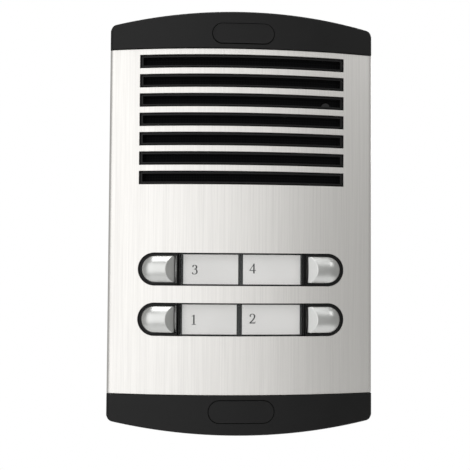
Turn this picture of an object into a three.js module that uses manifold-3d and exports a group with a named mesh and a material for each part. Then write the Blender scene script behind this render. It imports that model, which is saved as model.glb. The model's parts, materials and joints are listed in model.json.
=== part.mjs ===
// Door intercom panel: a surface-mounted outdoor call station with a convex brushed aluminium face,
// black end caps, a seven-slot speaker grille and four call buttons beside lit name cards.
//
// Millimetres. +Z is up, +X is right, and the face looks along -Y. The origin is the centre of the
// back, on the wall plane. The "depth" of a curved piece is its distance behind the aluminium face.
import * as THREE from "three";
import { mergeVertices } from "three/addons/utils/BufferGeometryUtils.js";
import Module from "manifold-3d";

const wasm = await Module();
wasm.setup();

// ---------------------------------------------------------------- driving dimensions

const gap = 0.3; // between pieces that touch on the real object
const far = 60; // reaches past everything, for cutting bodies

const panel = { width: 127, height: 200, archRise: 6, corner: 3.5 };
const capLine = { top: 82.5, bottom: -81.5 }; // where the face ends and the end caps begin
const face = { crownY: -36.5, rise: 8, thickness: 1.5, bend: 2.5, facets: 12 };
const capShell = { proud: 0.6, wall: 2.2, tongueX: 59.5, tongueWidth: 7 };
const frontBackY = -12; // back edge of the front, which laps over the rear housing

const slots = { count: 7, halfLength: 49, height: 6.4, pitch: 9.25, firstBelowCap: 3 };
const collar = { sideInset: 1.1, edgeInset: 0.6, wall: 0.7, depth: 0.5 };
const grille = { depth: 1.8, thickness: 1.2, halfWidth: 51.5, margin: 1.3 };
const cloth = { depth: 3.3, thickness: 0.5, halfWidth: 50.5, low: 15, high: 80 };
const grilleScrew = { x: 40.5, z: 56.2, headRadius: 2.2, bossRadius: 2.8 };

const rows = { upper: -22.5, lower: -46.1 };
const opening = { halfLength: 49, halfHeight: 7.75 };
const frame = { proud: 0.35, backY: -29.1, flange: 1.5, flangeDepth: 1.8, flangeThickness: 1.5 };
const pane = { halfLength: 28.9, halfHeight: 7.3, proud: 0.1, thickness: 1.8 };
const card = { halfHeight: 7, depth: 1.95, thickness: 0.3, pocketDepth: 2.5 };
const light = { from: 5, to: 24, halfHeight: 4.6, frontY: -28.7, backY: -18.3 };

const button = {
  inner: 31, // the straight side's distance from the middle of the panel
  outer: 47.1, // the round end's
  halfHeight: 6.2,
  edgeAbove: 0.6, // the dome's edge above the face
  domeRise: 2.8,
  scoop: 1.5, // how far the finger scoop runs in at the dome's edge
  skirtBackY: -28.3,
  flangeBackY: -27.1,
  flange: 0.8,
  wall: 1.1,
  ceilingY: -31.6,
  stemHalf: 1.5,
  stemBackY: -19.8,
};
const coil = { radius: 3.7, wire: 0.35, turns: 4.5, frontY: -30.9, backY: -25.2 };

const web = { inset: 2.7, frontY: -24.5, backY: -22.5 }; // the chassis's flat wall
const board = { frontY: -17, backY: -15.4, halfWidth: 50, low: -64, high: -10 };
const boardScrews = { x: 45, low: -59, high: -15, postRadius: 2.8 };
const domeSwitch = { half: 3, frontY: -17.9, backY: -17.3 };

const speaker = { z: 48.5, lipRadius: 25, flangeRadius: 28.3, wellRadius: 31, frontY: -30.4 };
const clampScrewX = 33;
const microphone = { x: -40, z: 20.1 };

const hinge = { y: -9, z: 88, rodRadius: 1.6, clearance: 0.25, knuckleRadius: 3.4 };
const claw = { x: 24, half: 4 };
const ear = { from: 29.5, to: 34 };

const rear = { inset: 2.8, wall: 2.2, rimY: -14, floorFrontY: -4, floorBackY: -1.8, padInset: 9 };
const wallHole = { x: 48, z: 62, bossRadius: 6, radius: 2.25, frontY: -7 };
const cable = { z: -62, holeRadius: 9, mouthRadius: 3.4 };
const lock = { z: -88.9, boreRadius: 3.7, headRadius: 3.2, shankRadius: 1.75, tipY: -10.5 };
const badge = { z: 89.4, halfLength: 14.55, halfHeight: 4.65 };
const cover = { z: lock.z, halfLength: 15.3, halfHeight: 5.1 };
const recessFloorY = -35.5;
const capScrew = { x: 45, z: 88.4, postRadius: 3.2 };

// ---------------------------------------------------------------- worked out from them

const halfWidth = panel.width / 2;
const chordRadius = (half, rise) => (half * half + rise * rise) / (2 * rise);
const archRadius = chordRadius(halfWidth, panel.archRise);
const faceRadius = chordRadius(halfWidth, face.rise);
const faceCentreY = face.crownY + faceRadius;
const buttonMiddle = (button.inner + button.outer) / 2;

/** Height of the middle of a grille slot, counted from the top. */
const slotHeight = (index) =>
  capLine.top - slots.firstBelowCap - slots.height / 2 - index * slots.pitch;

/** Where the surface at a depth behind the face lies, x from the middle. */
const faceY = (x, depth = 0) => faceCentreY - Math.sqrt((faceRadius - depth) ** 2 - x * x);

// ---------------------------------------------------------------- materials

const finish = (color, roughness, metalness = 0) =>
  new THREE.MeshStandardMaterial({ color, roughness, metalness });
const finishes = {
  aluminium: finish(0xd2d2cd, 0.38, 1),
  blackPlastic: finish(0x1d1d1f, 0.5),
  satinChrome: finish(0xc4c6c4, 0.25, 1),
  clear: finish(0xe8ecec, 0.08),
  paper: finish(0xe4e2df, 0.9),
  cloth: finish(0x0a0a0b, 0.95),
  steel: finish(0xa9abad, 0.35, 1),
  rubber: finish(0x151515, 0.8),
  foam: finish(0x202122, 0.95),
  cone: finish(0x17171a, 0.85),
  ferrite: finish(0x3a3b3d, 0.6, 0.2),
  board: finish(0x1f5a35, 0.45),
  terminal: finish(0x2f6f3e, 0.5),
  dome: finish(0xcfcfc8, 0.3, 1),
  trimmer: finish(0x2c4f8f, 0.5),
  lamp: finish(0xe9e6d8, 0.2),
  lead: finish(0x8a1f1f, 0.55),
};

// ---------------------------------------------------------------- drawing and solids

const point = (x, y) => new THREE.Vector2(x, y);

/** Points along an arc, both ends included. */
function arc(centreX, centreY, radius, from, to, pieces) {
  return Array.from({ length: pieces + 1 }, (_, i) => {
    const angle = from + ((to - from) * i) / pieces;
    return point(centreX + radius * Math.cos(angle), centreY + radius * Math.sin(angle));
  });
}

/** One closed outline from runs of points, with doubled points dropped. */
function outline(...runs) {
  const points = runs.flat();
  const apart = (p, i) => p.distanceTo(points[(i + 1) % points.length]) > 1e-3;
  return new THREE.Shape(points.filter(apart));
}

/** A three.js geometry as a manifold-3d solid. */
function solid(geometry) {
  const bare = geometry.index ? geometry.toNonIndexed() : geometry.clone();
  bare.deleteAttribute("normal");
  bare.deleteAttribute("uv");
  const merged = mergeVertices(bare, 1e-4);
  const corners = Array.from(merged.index.array);
  const faces = [];
  for (let i = 0; i < corners.length; i += 3) {
    const [a, b, c] = corners.slice(i, i + 3);
    if (a !== b && b !== c && c !== a) {
      faces.push(a, b, c);
    }
  }
  const made = new wasm.Mesh({
    numProp: 3,
    vertProperties: merged.getAttribute("position").array,
    triVerts: new Uint32Array(faces),
  });
  return new wasm.Manifold(made);
}

/** An outline carried a distance along the axis it is drawn across. */
const extruded = (shape, depth) =>
  new THREE.ExtrudeGeometry(shape, { depth, bevelEnabled: false });

/** An outline drawn in x and z, carried from yFront back to yBack. */
const prism = (shape, yFront, yBack) =>
  solid(extruded(shape, yBack - yFront).rotateX(Math.PI / 2).translate(0, yBack, 0));

/** An outline drawn in x and y, carried from zLow up to zHigh. */
const column = (shape, zLow, zHigh) =>
  solid(extruded(shape, zHigh - zLow).translate(0, 0, zLow));

/** An outline drawn in y and z, carried from xLow to xHigh. */
const slab = (shape, xLow, xHigh) =>
  solid(
    extruded(shape, xHigh - xLow)
      .rotateX(Math.PI / 2)
      .rotateZ(Math.PI / 2)
      .translate(xLow, 0, 0),
  );

/** A box between two values on each axis. */
function box(x, y, z) {
  const geometry = new THREE.BoxGeometry(x[1] - x[0], y[1] - y[0], z[1] - z[0]);
  const centre = [x, y, z].map((ends) => (ends[0] + ends[1]) / 2);
  return solid(geometry.translate(...centre));
}

/** A round bar along Y. */
function bar(x, z, radius, yFront, yBack, sides = 16) {
  const geometry = new THREE.CylinderGeometry(radius, radius, yBack - yFront, sides);
  return solid(geometry.translate(x, (yFront + yBack) / 2, z));
}

/** A closed profile of [radius, y] points, with y rising up its outside, turned about Y. */
function turned(profile, x, z, sides) {
  const points = [...profile, profile[0]].map(([radius, y]) => point(radius, y));
  return solid(new THREE.LatheGeometry(points, sides).translate(x, 0, z));
}

/** Joins solids into one. */
const joined = (first, ...others) => others.reduce((sum, next) => sum.add(next), first);

/** Cuts solids out of the first. */
const cut = (first, ...others) => others.reduce((rest, next) => rest.subtract(next), first);

const group = new THREE.Group();

/** Adds a finished solid to the group as a named mesh. */
function place(name, made, material) {
  const mesh = made.getMesh();
  const positions = new Float32Array(mesh.vertProperties);
  const geometry = new THREE.BufferGeometry();
  geometry.setAttribute("position", new THREE.BufferAttribute(positions, 3));
  geometry.setIndex(new THREE.BufferAttribute(new Uint32Array(mesh.triVerts), 1));
  geometry.computeVertexNormals();
  const node = new THREE.Mesh(geometry, material);
  node.name = name;
  group.add(node);
}

// ---------------------------------------------------------------- shared outlines

const quarter = Math.PI / 2;

/** The panel seen from the front: straight sides, arched ends and rounded corners. */
function panelOutline(inset) {
  const radius = archRadius - inset;
  const corner = Math.max(panel.corner - inset, 1);
  const centre = panel.height / 2 - archRadius;
  const cornerX = halfWidth - inset - corner;
  const lean = Math.asin(cornerX / (radius - corner));
  const cornerZ = centre + (radius - corner) * Math.cos(lean);
  return outline(
    arc(cornerX, cornerZ, corner, 0, quarter - lean, 4),
    arc(0, centre, radius, quarter - lean, quarter + lean, 10),
    arc(-cornerX, cornerZ, corner, quarter + lean, 2 * quarter, 4),
    arc(-cornerX, -cornerZ, corner, 2 * quarter, 3 * quarter - lean, 4),
    arc(0, -centre, radius, 3 * quarter - lean, 3 * quarter + lean, 10),
    arc(cornerX, -cornerZ, corner, 3 * quarter + lean, 4 * quarter, 4),
  );
}

/** The face's section from above, from the left side's back edge round to the right side's. */
function facePath(depth, halfSpan, bend, yBack) {
  const radius = faceRadius - depth;
  const bendX = halfSpan - bend;
  const lean = Math.asin(bendX / (radius - bend));
  const bendY = faceCentreY - (radius - bend) * Math.cos(lean);
  return [
    point(-halfSpan, yBack),
    ...arc(-bendX, bendY, bend, -2 * quarter, -quarter - lean, 4),
    ...arc(0, faceCentreY, radius, -quarter - lean, -quarter + lean, face.facets),
    ...arc(bendX, bendY, bend, -quarter + lean, 0, 4),
    point(halfSpan, yBack),
  ];
}

/** Everything that lies further behind the face than a depth, between two heights. */
function behind(depth, zLow, zHigh) {
  const reach = 68;
  const radius = faceRadius - depth;
  const lean = Math.asin(reach / radius);
  const front = arc(0, faceCentreY, radius, -quarter - lean, -quarter + lean, face.facets);
  return column(outline(front, [point(reach, 10), point(-reach, 10)]), zLow, zHigh);
}

/** A curved sheet behind the face, cut to a rectangle seen from the front. */
function curvedSheet(x, z, depth, thickness) {
  const low = z[0] - 1;
  const high = z[1] + 1;
  const sheet = behind(depth, low, high).subtract(behind(depth + thickness, low, high));
  return sheet.intersect(box(x, [-far, 0], z));
}

/** A slot shape with round ends, lying along X. */
function stadium(z, halfLength, halfHeight, pieces = 10) {
  const straight = halfLength - halfHeight;
  return outline(
    arc(straight, z, halfHeight, -quarter, quarter, pieces),
    arc(-straight, z, halfHeight, quarter, 3 * quarter, pieces),
  );
}

/** A call button from the front: straight towards the name card, round at the outer end. */
function buttonOutline(side, z, grow) {
  const radius = button.halfHeight + grow;
  const centre = button.outer - button.halfHeight;
  const inner = button.inner - grow;
  const drawn = [
    ...arc(centre, z, radius, -quarter, quarter, 10),
    point(inner, z + radius),
    point(inner, z - radius),
  ];
  const handed = drawn.map((p) => point(side * p.x, p.y));
  return outline(side > 0 ? handed : handed.reverse());
}

/** Two values in rising order after both are moved to one side. */
const sided = (side, a, b) => [Math.min(side * a, side * b), Math.max(side * a, side * b)];

// ---------------------------------------------------------------- front shell

function frontPlate() {
  const inner = face.thickness;
  const section = outline(
    facePath(0, halfWidth, face.bend, frontBackY),
    facePath(inner, halfWidth - inner, face.bend - inner, frontBackY).reverse(),
  );
  let plate = column(section, capLine.bottom + gap, capLine.top - gap);
  for (let i = 0; i < slots.count; i += 1) {
    const z = slotHeight(i);
    const x = [-slots.halfLength, slots.halfLength];
    plate = plate.subtract(box(x, [-far, -20], [z - slots.height / 2, z + slots.height / 2]));
  }
  for (const z of Object.values(rows)) {
    plate = plate.subtract(prism(stadium(z, opening.halfLength, opening.halfHeight), -far, -20));
  }
  place("front_plate", plate, finishes.aluminium);
}

/** The hollow shell of an end cap; side is 1 for the top and -1 for the bottom. */
function endCap(side, line) {
  const { proud, wall, tongueX, tongueWidth } = capShell;
  const outerPath = outline(facePath(-proud, halfWidth, face.bend, frontBackY));
  const innerPath = outline(facePath(wall - proud, halfWidth - wall, 0.8, frontBackY + 1));
  const outer = column(outerPath, ...sided(side, Math.abs(line), 110));
  const hollow = column(innerPath, ...sided(side, Math.abs(line) - 1, 110));
  let cap = outer
    .intersect(prism(panelOutline(0), -far, frontBackY))
    .subtract(hollow.intersect(prism(panelOutline(wall), -far, frontBackY + 1)));
  for (const x of [-1, 1]) {
    const heights = sided(side, Math.abs(line) - 6, Math.abs(line) + 3);
    const rooted = sided(side, Math.abs(line) + 0.2, Math.abs(line) + 3);
    const span = sided(x, tongueX, tongueX - tongueWidth);
    const tongue = curvedSheet(span, heights, face.thickness + gap, 2);
    const root = curvedSheet(span, rooted, face.thickness - 0.5, 2.8);
    const z = side * capScrew.z;
    const post = bar(x * capScrew.x, z, capScrew.postRadius, -31.5, web.frontY - gap);
    const bore = bar(x * capScrew.x, z, 1.4, -29.6, web.frontY);
    cap = joined(cap, tongue, root, post).subtract(bore);
  }
  return cap;
}

function topCap() {
  const recess = stadium(badge.z, badge.halfLength + gap, badge.halfHeight + gap);
  const backing = stadium(badge.z, badge.halfLength + 2, badge.halfHeight + 2);
  const made = cut(
    joined(endCap(1, capLine.top), prism(backing, recessFloorY, -33.6)),
    prism(recess, -far, recessFloorY),
  );
  place("top_cap", made, finishes.blackPlastic);
}

function bottomCap() {
  const recess = stadium(cover.z, cover.halfLength + gap, cover.halfHeight + gap);
  const backing = stadium(cover.z, cover.halfLength + 2, cover.halfHeight + 2);
  const made = cut(
    joined(
      endCap(-1, capLine.bottom),
      prism(backing, recessFloorY, -33.6),
      bar(0, lock.z, 5.2, recessFloorY, -16.2, 20),
    ),
    prism(recess, -far, recessFloorY),
    bar(0, lock.z, lock.boreRadius, -far, -18.4, 20),
    bar(0, lock.z, 2.1, -20, -16, 12),
  );
  place("bottom_cap", made, finishes.blackPlastic);
}

/** An oval plate that follows the cap's curve. */
function ovalPlate({ z, halfLength, halfHeight }, proud) {
  const block = prism(stadium(z, halfLength, halfHeight), -far, recessFloorY - gap);
  return block.intersect(behind(-proud, z - 8, z + 8));
}

function ovals() {
  place("badge_plate", ovalPlate(badge, 1), finishes.blackPlastic);
  const plug = bar(0, cover.z, lock.boreRadius - gap, -36, -32.5, 20);
  place("screw_cover", joined(ovalPlate(cover, 1), plug), finishes.blackPlastic);
}

function lockScrew() {
  const made = cut(
    joined(
      bar(0, lock.z, lock.headRadius, -22, -18.7),
      bar(0, lock.z, lock.shankRadius, -19, lock.tipY, 12),
    ),
    bar(0, lock.z, 1.4, -23, -20.2, 6),
  );
  place("lock_screw", made, finishes.steel);
}

function speakerGrille() {
  const x = [-grille.halfWidth, grille.halfWidth];
  const top = slotHeight(0) + slots.height / 2 + grille.margin;
  const bottom = slotHeight(slots.count - 1) - slots.height / 2 - grille.margin;
  const back = grille.depth + grille.thickness;
  let made = curvedSheet(x, [bottom, top], grille.depth, grille.thickness);
  for (let i = 0; i < slots.count; i += 1) {
    const z = slotHeight(i);
    const outerX = slots.halfLength - collar.sideInset;
    const outerZ = slots.height / 2 - collar.edgeInset;
    const innerX = outerX - collar.wall;
    const innerZ = outerZ - collar.wall;
    const heights = [z - outerZ, z + outerZ];
    const ring = curvedSheet([-outerX, outerX], heights, collar.depth, back - collar.depth);
    const mouth = box([-innerX, innerX], [-far, 0], [z - innerZ, z + innerZ]);
    made = joined(made, ring).subtract(mouth);
  }
  place("speaker_grille", made, finishes.blackPlastic);
}

function acousticCloth() {
  const { x, z, headRadius } = grilleScrew;
  const span = [-cloth.halfWidth, cloth.halfWidth];
  const sheet = curvedSheet(span, [cloth.low, cloth.high], cloth.depth, cloth.thickness);
  place("acoustic_cloth", sheet.subtract(bar(x, z, headRadius + gap, -far, 0)), finishes.cloth);
}

// ---------------------------------------------------------------- call button rows

function buttonFrame(row, z) {
  const low = z - 12;
  const high = z + 12;
  const filling = stadium(z, opening.halfLength - gap, opening.halfHeight - gap);
  const body = prism(filling, -far, frame.backY).intersect(behind(-frame.proud, low, high));
  const rim = stadium(z, opening.halfLength + frame.flange, opening.halfHeight + frame.flange);
  const flange = behind(frame.flangeDepth, low, high)
    .subtract(behind(frame.flangeDepth + frame.flangeThickness, low, high))
    .intersect(prism(rim, -far, 0));
  const reach = pane.halfLength + gap;
  const block = box([-reach, reach], [-far, 0], [low, high]);
  const pocket = block.subtract(behind(card.pocketDepth, low, high));
  let made = joined(body, flange).subtract(pocket);
  for (const side of [-1, 1]) {
    const hole = sided(side, light.from, light.to);
    const heights = [z - light.halfHeight, z + light.halfHeight];
    const window = box(hole, [-far, 0], heights);
    made = cut(made, prism(buttonOutline(side, z, 0.25), -far, 0), window);
  }
  place(`button_frame_${row}`, made, finishes.blackPlastic);
}

function nameWindow(row, z) {
  const span = [-pane.halfLength, pane.halfLength];
  const heights = [z - pane.halfHeight, z + pane.halfHeight];
  const made = curvedSheet(span, heights, -pane.proud, pane.thickness);
  place(`name_window_${row}`, made, finishes.clear);
}

/** Cards are cut by hand, so each has its own left and right ends. */
const nameCards = [
  { number: 1, z: rows.lower, x: [-28, -2.3] },
  { number: 2, z: rows.lower, x: [0.25, 27.9] },
  { number: 3, z: rows.upper, x: [-27.6, -1.7] },
  { number: 4, z: rows.upper, x: [0.6, 28.1] },
];

function nameCard({ number, z, x }) {
  const heights = [z - card.halfHeight, z + card.halfHeight];
  place(`name_card_${number}`, curvedSheet(x, heights, card.depth, card.thickness), finishes.paper);
}

/** One light guide per row, shining through both windows of the row's frame. */
function lightGuide(row, z) {
  const heights = [z - light.halfHeight + gap, z + light.halfHeight - gap];
  const reach = light.to - gap;
  const made = box([-reach, reach], [light.frontY, light.backY], heights);
  place(`light_guide_${row}`, made, finishes.lamp);
}

/** The four call buttons; side is -1 on the left and 1 on the right. */
const buttons = [
  { number: 1, side: -1, z: rows.lower },
  { number: 2, side: 1, z: rows.lower },
  { number: 3, side: -1, z: rows.upper },
  { number: 4, side: 1, z: rows.upper },
];

/** A domed bar with a round end, in its own frame: x runs outwards, the face lies at y = 0. */
function buttonDome(side) {
  const edge = -button.edgeAbove;
  const crown = edge - button.domeRise;
  const radius = chordRadius(button.halfHeight, button.domeRise);
  const reach = button.halfHeight + 1;
  const lean = Math.asin(reach / radius);
  const roundX = button.outer - button.halfHeight - buttonMiddle;
  const backY = 9;
  const arch = arc(0, crown + radius, radius, -quarter - lean, -quarter + lean, 12);
  const section = arch.map((p) => point(p.y, p.x));
  const along = slab(outline(section, [point(backY, reach), point(backY, -reach)]), -16, roundX);
  const ridge = arch.slice(7).map((p) => [p.x, p.y]);
  const end = turned([[0, crown], ...ridge, [reach, backY], [0, backY]], roundX, 0, 28);
  const scoopX = button.inner - buttonMiddle + button.scoop;
  const scoop = column(
    outline([
      point(scoopX - 6, edge + 6),
      point(scoopX - 30, edge - 14),
      point(scoopX + 14, edge - 14),
    ]),
    -20,
    20,
  );
  const made = joined(end, along).subtract(scoop);
  return side > 0 ? made : made.mirror([1, 0, 0]);
}

function buttonCap({ number, side, z }) {
  const tilt = Math.asin(buttonMiddle / faceRadius);
  const dome = buttonDome(side)
    .rotate([0, 0, side * THREE.MathUtils.radToDeg(tilt)])
    .translate([side * buttonMiddle, faceY(buttonMiddle), z])
    .intersect(prism(buttonOutline(side, z, 0), -far, button.skirtBackY));
  const flangeShape = buttonOutline(side, z, button.flange);
  const flange = prism(flangeShape, button.skirtBackY, button.flangeBackY);
  const hollow = prism(buttonOutline(side, z, -button.wall), button.ceilingY, -20);
  const middle = side * buttonMiddle;
  const half = button.stemHalf;
  const stem = box(
    [middle - half, middle + half],
    [button.ceilingY - 0.4, button.stemBackY],
    [z - half, z + half],
  );
  const made = joined(joined(dome, flange).subtract(hollow), stem);
  place(`button_cap_${number}`, made, finishes.satinChrome);
}

/** A coil around each button's stem, from the chassis to the cap. */
function returnSpring({ number, side, z }) {
  const turn = 2 * Math.PI * coil.turns;
  const steps = Math.round(coil.turns * 6);
  const along = Array.from({ length: steps + 1 }, (_, i) => {
    const part = i / steps;
    return new THREE.Vector3(
      side * buttonMiddle + coil.radius * Math.cos(turn * part),
      coil.backY + (coil.frontY - coil.backY) * part,
      z + coil.radius * Math.sin(turn * part),
    );
  });
  const section = outline(arc(0, 0, coil.wire, 0, 4 * quarter, 4));
  const path = new THREE.CatmullRomCurve3(along);
  const geometry = new THREE.ExtrudeGeometry(section, { steps, extrudePath: path });
  place(`return_spring_${number}`, solid(geometry), finishes.steel);
}

function switchDome({ number, side, z }) {
  const half = domeSwitch.half;
  const middle = side * buttonMiddle;
  const made = box(
    [middle - half, middle + half],
    [domeSwitch.frontY, domeSwitch.backY],
    [z - half, z + half],
  );
  place(`switch_dome_${number}`, made, finishes.dome);
}

// ---------------------------------------------------------------- chassis and what it carries

/** A hooked arm that turns on the hinge rod. */
function hingeClaw(side) {
  const { y, z, knuckleRadius, rodRadius, clearance } = hinge;
  const knuckle = outline(arc(y, z, knuckleRadius, 0, 4 * quarter, 16));
  const bore = outline(arc(y, z, rodRadius + clearance, 0, 4 * quarter, 12));
  const span = sided(side, claw.x - claw.half, claw.x + claw.half);
  const arm = box(span, [web.backY - 0.5, y], [z - 2.6, z + 2.6]);
  return joined(slab(knuckle, ...span), arm).subtract(slab(bore, span[0] - 1, span[1] + 1));
}

function chassis() {
  const { frontY, backY } = web;
  let made = prism(panelOutline(web.inset), frontY, backY);
  const { wellRadius, flangeRadius, lipRadius } = speaker;
  made = cut(
    joined(made, bar(0, speaker.z, wellRadius, speaker.frontY, frontY + 0.5, 24)),
    bar(0, speaker.z, flangeRadius + 0.5, -29, 0, 24),
    bar(0, speaker.z, lipRadius, -far, 0, 24),
  );
  for (const side of [-1, 1]) {
    const { x, low, high, postRadius } = boardScrews;
    for (const z of [low, high]) {
      const post = bar(side * x, z, postRadius, backY - 0.5, board.frontY - gap, 10);
      made = joined(made, post).subtract(bar(side * x, z, 1.3, frontY + 0.6, -16, 10));
    }
    for (const z of [capScrew.z, -capScrew.z]) {
      made = made.subtract(bar(side * capScrew.x, z, 1.5, -26, -20, 10));
    }
    const clampBore = bar(side * clampScrewX, speaker.z, 1.3, frontY - 3, -20, 10);
    const clampBoss = bar(side * clampScrewX, speaker.z, 3, frontY - 3.4, frontY + 0.5, 12);
    made = joined(made, clampBoss, hingeClaw(side)).subtract(clampBore);
  }
  for (const z of Object.values(rows)) {
    const reach = light.to + 0.4;
    const half = light.halfHeight + 0.4;
    made = made.subtract(box([-reach, reach], [-far, 0], [z - half, z + half]));
  }
  for (const { side, z } of buttons) {
    const middle = side * buttonMiddle;
    const half = button.stemHalf + gap;
    made = made.subtract(box([middle - half, middle + half], [-far, 0], [z - half, z + half]));
  }
  const { x, z, bossRadius } = grilleScrew;
  made = joined(made, bar(x, z, bossRadius, -27.6, frontY + 0.5, 12));
  made = cut(made, bar(x, z, 1.3, -far, -25.2, 10), bar(0, lock.z, 5.6, -26, -20, 20));
  place("chassis", made, finishes.blackPlastic);
}

function speakerParts() {
  const { z } = speaker;
  const ring = [[25.4, -28.7], [28, -28.7], [28, -28.2], [25.4, -28.2]];
  const basket = [
    [24.5, -27.9],
    [28.3, -27.9],
    [28.3, -26.9],
    [25.3, -26.9],
    [14, -16],
    [8, -16],
    [8, -16.8],
    [13.4, -16.8],
  ];
  const cone = [
    [0, -22.5],
    [5.5, -21.3],
    [22.4, -27.9],
    [22.8, -27.2],
    [5.2, -20.4],
    [0, -21.7],
  ];
  const magnet = [[0, -15.7], [14, -15.7], [14, -10.4], [13, -9.4], [0, -9.4]];
  const clamp = [
    [26, -26.6],
    [28, -26.6],
    [28, -22.2],
    [36.5, -22.2],
    [36.5, -21],
    [26, -21],
  ];
  place("speaker_gasket", turned(ring, 0, z, 24), finishes.foam);
  place("speaker_basket", turned(basket, 0, z, 24), finishes.steel);
  place("speaker_cone", turned(cone, 0, z, 24), finishes.cone);
  place("speaker_magnet", turned(magnet, 0, z, 24), finishes.ferrite);
  let plate = turned(clamp, 0, z, 24);
  for (const side of [-1, 1]) {
    plate = plate.subtract(bar(side * clampScrewX, z, 1.4, -30, 0, 10));
  }
  place("speaker_clamp", plate, finishes.steel);
}

/** A pan-head screw along Y; the head's underside faces the shank. */
function screw(name, x, z, headRadius, underY, tipY) {
  const forward = tipY < underY;
  const headEnd = underY + (forward ? 1.6 : -1.6);
  const overlap = underY + (forward ? 0.2 : -0.2);
  const head = bar(x, z, headRadius, Math.min(underY, headEnd), Math.max(underY, headEnd), 12);
  const shank = bar(x, z, 1, Math.min(overlap, tipY), Math.max(overlap, tipY), 8);
  const slot = box(
    [x - headRadius, x + headRadius],
    [headEnd - 0.5, headEnd + 0.5],
    [z - 0.35, z + 0.35],
  );
  place(name, joined(head, shank).subtract(slot), finishes.steel);
}

function screws() {
  const { x, low, high } = boardScrews;
  const places = [[-x, low], [x, low], [-x, high], [x, high]];
  places.forEach(([at, z], i) =>
    screw(`board_screw_${i + 1}`, at, z, 2.2, board.backY + gap, -22),
  );
  const corners = [[-1, -1], [1, -1], [-1, 1], [1, 1]];
  corners.forEach(([sideX, sideZ], i) => {
    const z = sideZ * capScrew.z;
    screw(`cap_screw_${i + 1}`, sideX * capScrew.x, z, 2.4, web.backY + gap, -29);
  });
  screw("clamp_screw_left", -clampScrewX, speaker.z, 2.4, -21 + gap, -27);
  screw("clamp_screw_right", clampScrewX, speaker.z, 2.4, -21 + gap, -27);
  screw("grille_screw", grilleScrew.x, grilleScrew.z, grilleScrew.headRadius, -27.9, -25.5);
}

function circuitBoard() {
  const { halfWidth: reach, low, high, frontY, backY } = board;
  let made = box([-reach, reach], [frontY, backY], [low, high]);
  for (const x of [-boardScrews.x, boardScrews.x]) {
    for (const z of [boardScrews.low, boardScrews.high]) {
      made = made.subtract(bar(x, z, 1.4, -20, -10, 10));
    }
  }
  place("circuit_board", made, finishes.board);
  for (const [row, z] of Object.entries(rows)) {
    place(`lamp_${row}`, box([-20, 20], [-18, -17.3], [z - 1.5, z + 1.5]), finishes.lamp);
  }
  let block = box([-20, 20], [-15.1, -7.5], [-60, -50]);
  for (const x of [-16, -8, 0, 8, 16]) {
    const entry = box([x - 2, x + 2], [-12, -9], [-61, -54]);
    block = cut(block, entry, bar(x, -54, 1.7, -10, -7, 10));
  }
  place("terminal_block", block, finishes.terminal);
  const trimmer = box([-33, -24], [-15.1, -9.5], [-40, -31]).subtract(
    box([-29, -28], [-10.5, -9], [-38, -33]),
  );
  place("volume_trimmer", trimmer, finishes.trimmer);
}

function microphoneParts() {
  const { x, z } = microphone;
  const boot = turned([[3.2, -28.2], [5, -28.2], [5, -24.8], [3.2, -24.8]], x, z, 16);
  place("microphone_boot", boot, finishes.rubber);
  place("microphone_capsule", bar(x, z, 2.9, -28.5, -25.4), finishes.steel);
}

function speakerLead() {
  const path = new THREE.CatmullRomCurve3([
    new THREE.Vector3(18, -19, 30),
    new THREE.Vector3(22, -13.4, 18),
    new THREE.Vector3(22, -11.4, 2),
    new THREE.Vector3(22, -12.4, -10),
    new THREE.Vector3(22, -13.2, -16),
  ]);
  const twin = outline(
    arc(0, 0.7, 0.8, -0.5, 2 * quarter + 0.5, 4),
    arc(0, -0.7, 0.8, 2 * quarter - 0.5, 4 * quarter + 0.5, 4),
  );
  const geometry = new THREE.ExtrudeGeometry(twin, { steps: 12, extrudePath: path });
  place("speaker_lead", solid(geometry), finishes.lead);
}

// ---------------------------------------------------------------- rear housing

function rearHousing() {
  const { inset, wall, rimY, floorFrontY, floorBackY, padInset } = rear;
  let made = joined(
    prism(panelOutline(inset), rimY, floorBackY),
    prism(panelOutline(padInset), floorFrontY, 0),
  ).subtract(prism(panelOutline(inset + wall), -far, floorFrontY));
  for (const side of [-1, 1]) {
    for (const z of [-wallHole.z, wallHole.z]) {
      const x = side * wallHole.x;
      made = joined(made, bar(x, z, wallHole.bossRadius, wallHole.frontY, floorFrontY + 0.5));
      made = made.subtract(bar(x, z, wallHole.radius, -20, 1));
    }
    const span = sided(side, ear.from, ear.to);
    const support = box(span, [hinge.y - 2.5, floorFrontY + 0.5], [hinge.z - 3.2, hinge.z + 3.2]);
    made = joined(made, support);
  }
  const { y, z, rodRadius, clearance } = hinge;
  const rodBore = outline(arc(y, z, rodRadius + clearance, 0, 4 * quarter, 12));
  made = cut(
    joined(made, bar(0, lock.z, 5, -13.6, floorFrontY + 0.5, 20)),
    bar(0, lock.z, 2.3, -20, -8.5, 12),
    slab(rodBore, -ear.to - 1, ear.to + 1),
    bar(0, cable.z, cable.holeRadius, -20, 1, 20),
  );
  place("rear_housing", made, finishes.blackPlastic);
  const rod = outline(arc(y, z, rodRadius, 0, 4 * quarter, 12));
  place("hinge_rod", slab(rod, -ear.to - 0.5, ear.to + 0.5), finishes.steel);
}

function wallGasket() {
  const ring = prism(panelOutline(rear.inset + 0.6), -1.5, 0).subtract(
    prism(panelOutline(rear.padInset - gap), -5, 5),
  );
  place("wall_gasket", ring, finishes.rubber);
}

function cableGrommet() {
  const neck = cable.holeRadius - gap;
  const lip = cable.holeRadius + 2.4;
  const { mouthRadius } = cable;
  const profile = [
    [neck - 1.6, -0.4],
    [neck - 1.6, -3],
    [mouthRadius, -3],
    [mouthRadius, -4],
    [neck - 1.6, -5.8],
    [lip, -5.8],
    [lip, -4.3],
    [neck, -4.3],
    [neck, -0.4],
  ];
  place("cable_grommet", turned(profile, 0, cable.z, 20), finishes.rubber);
}

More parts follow.
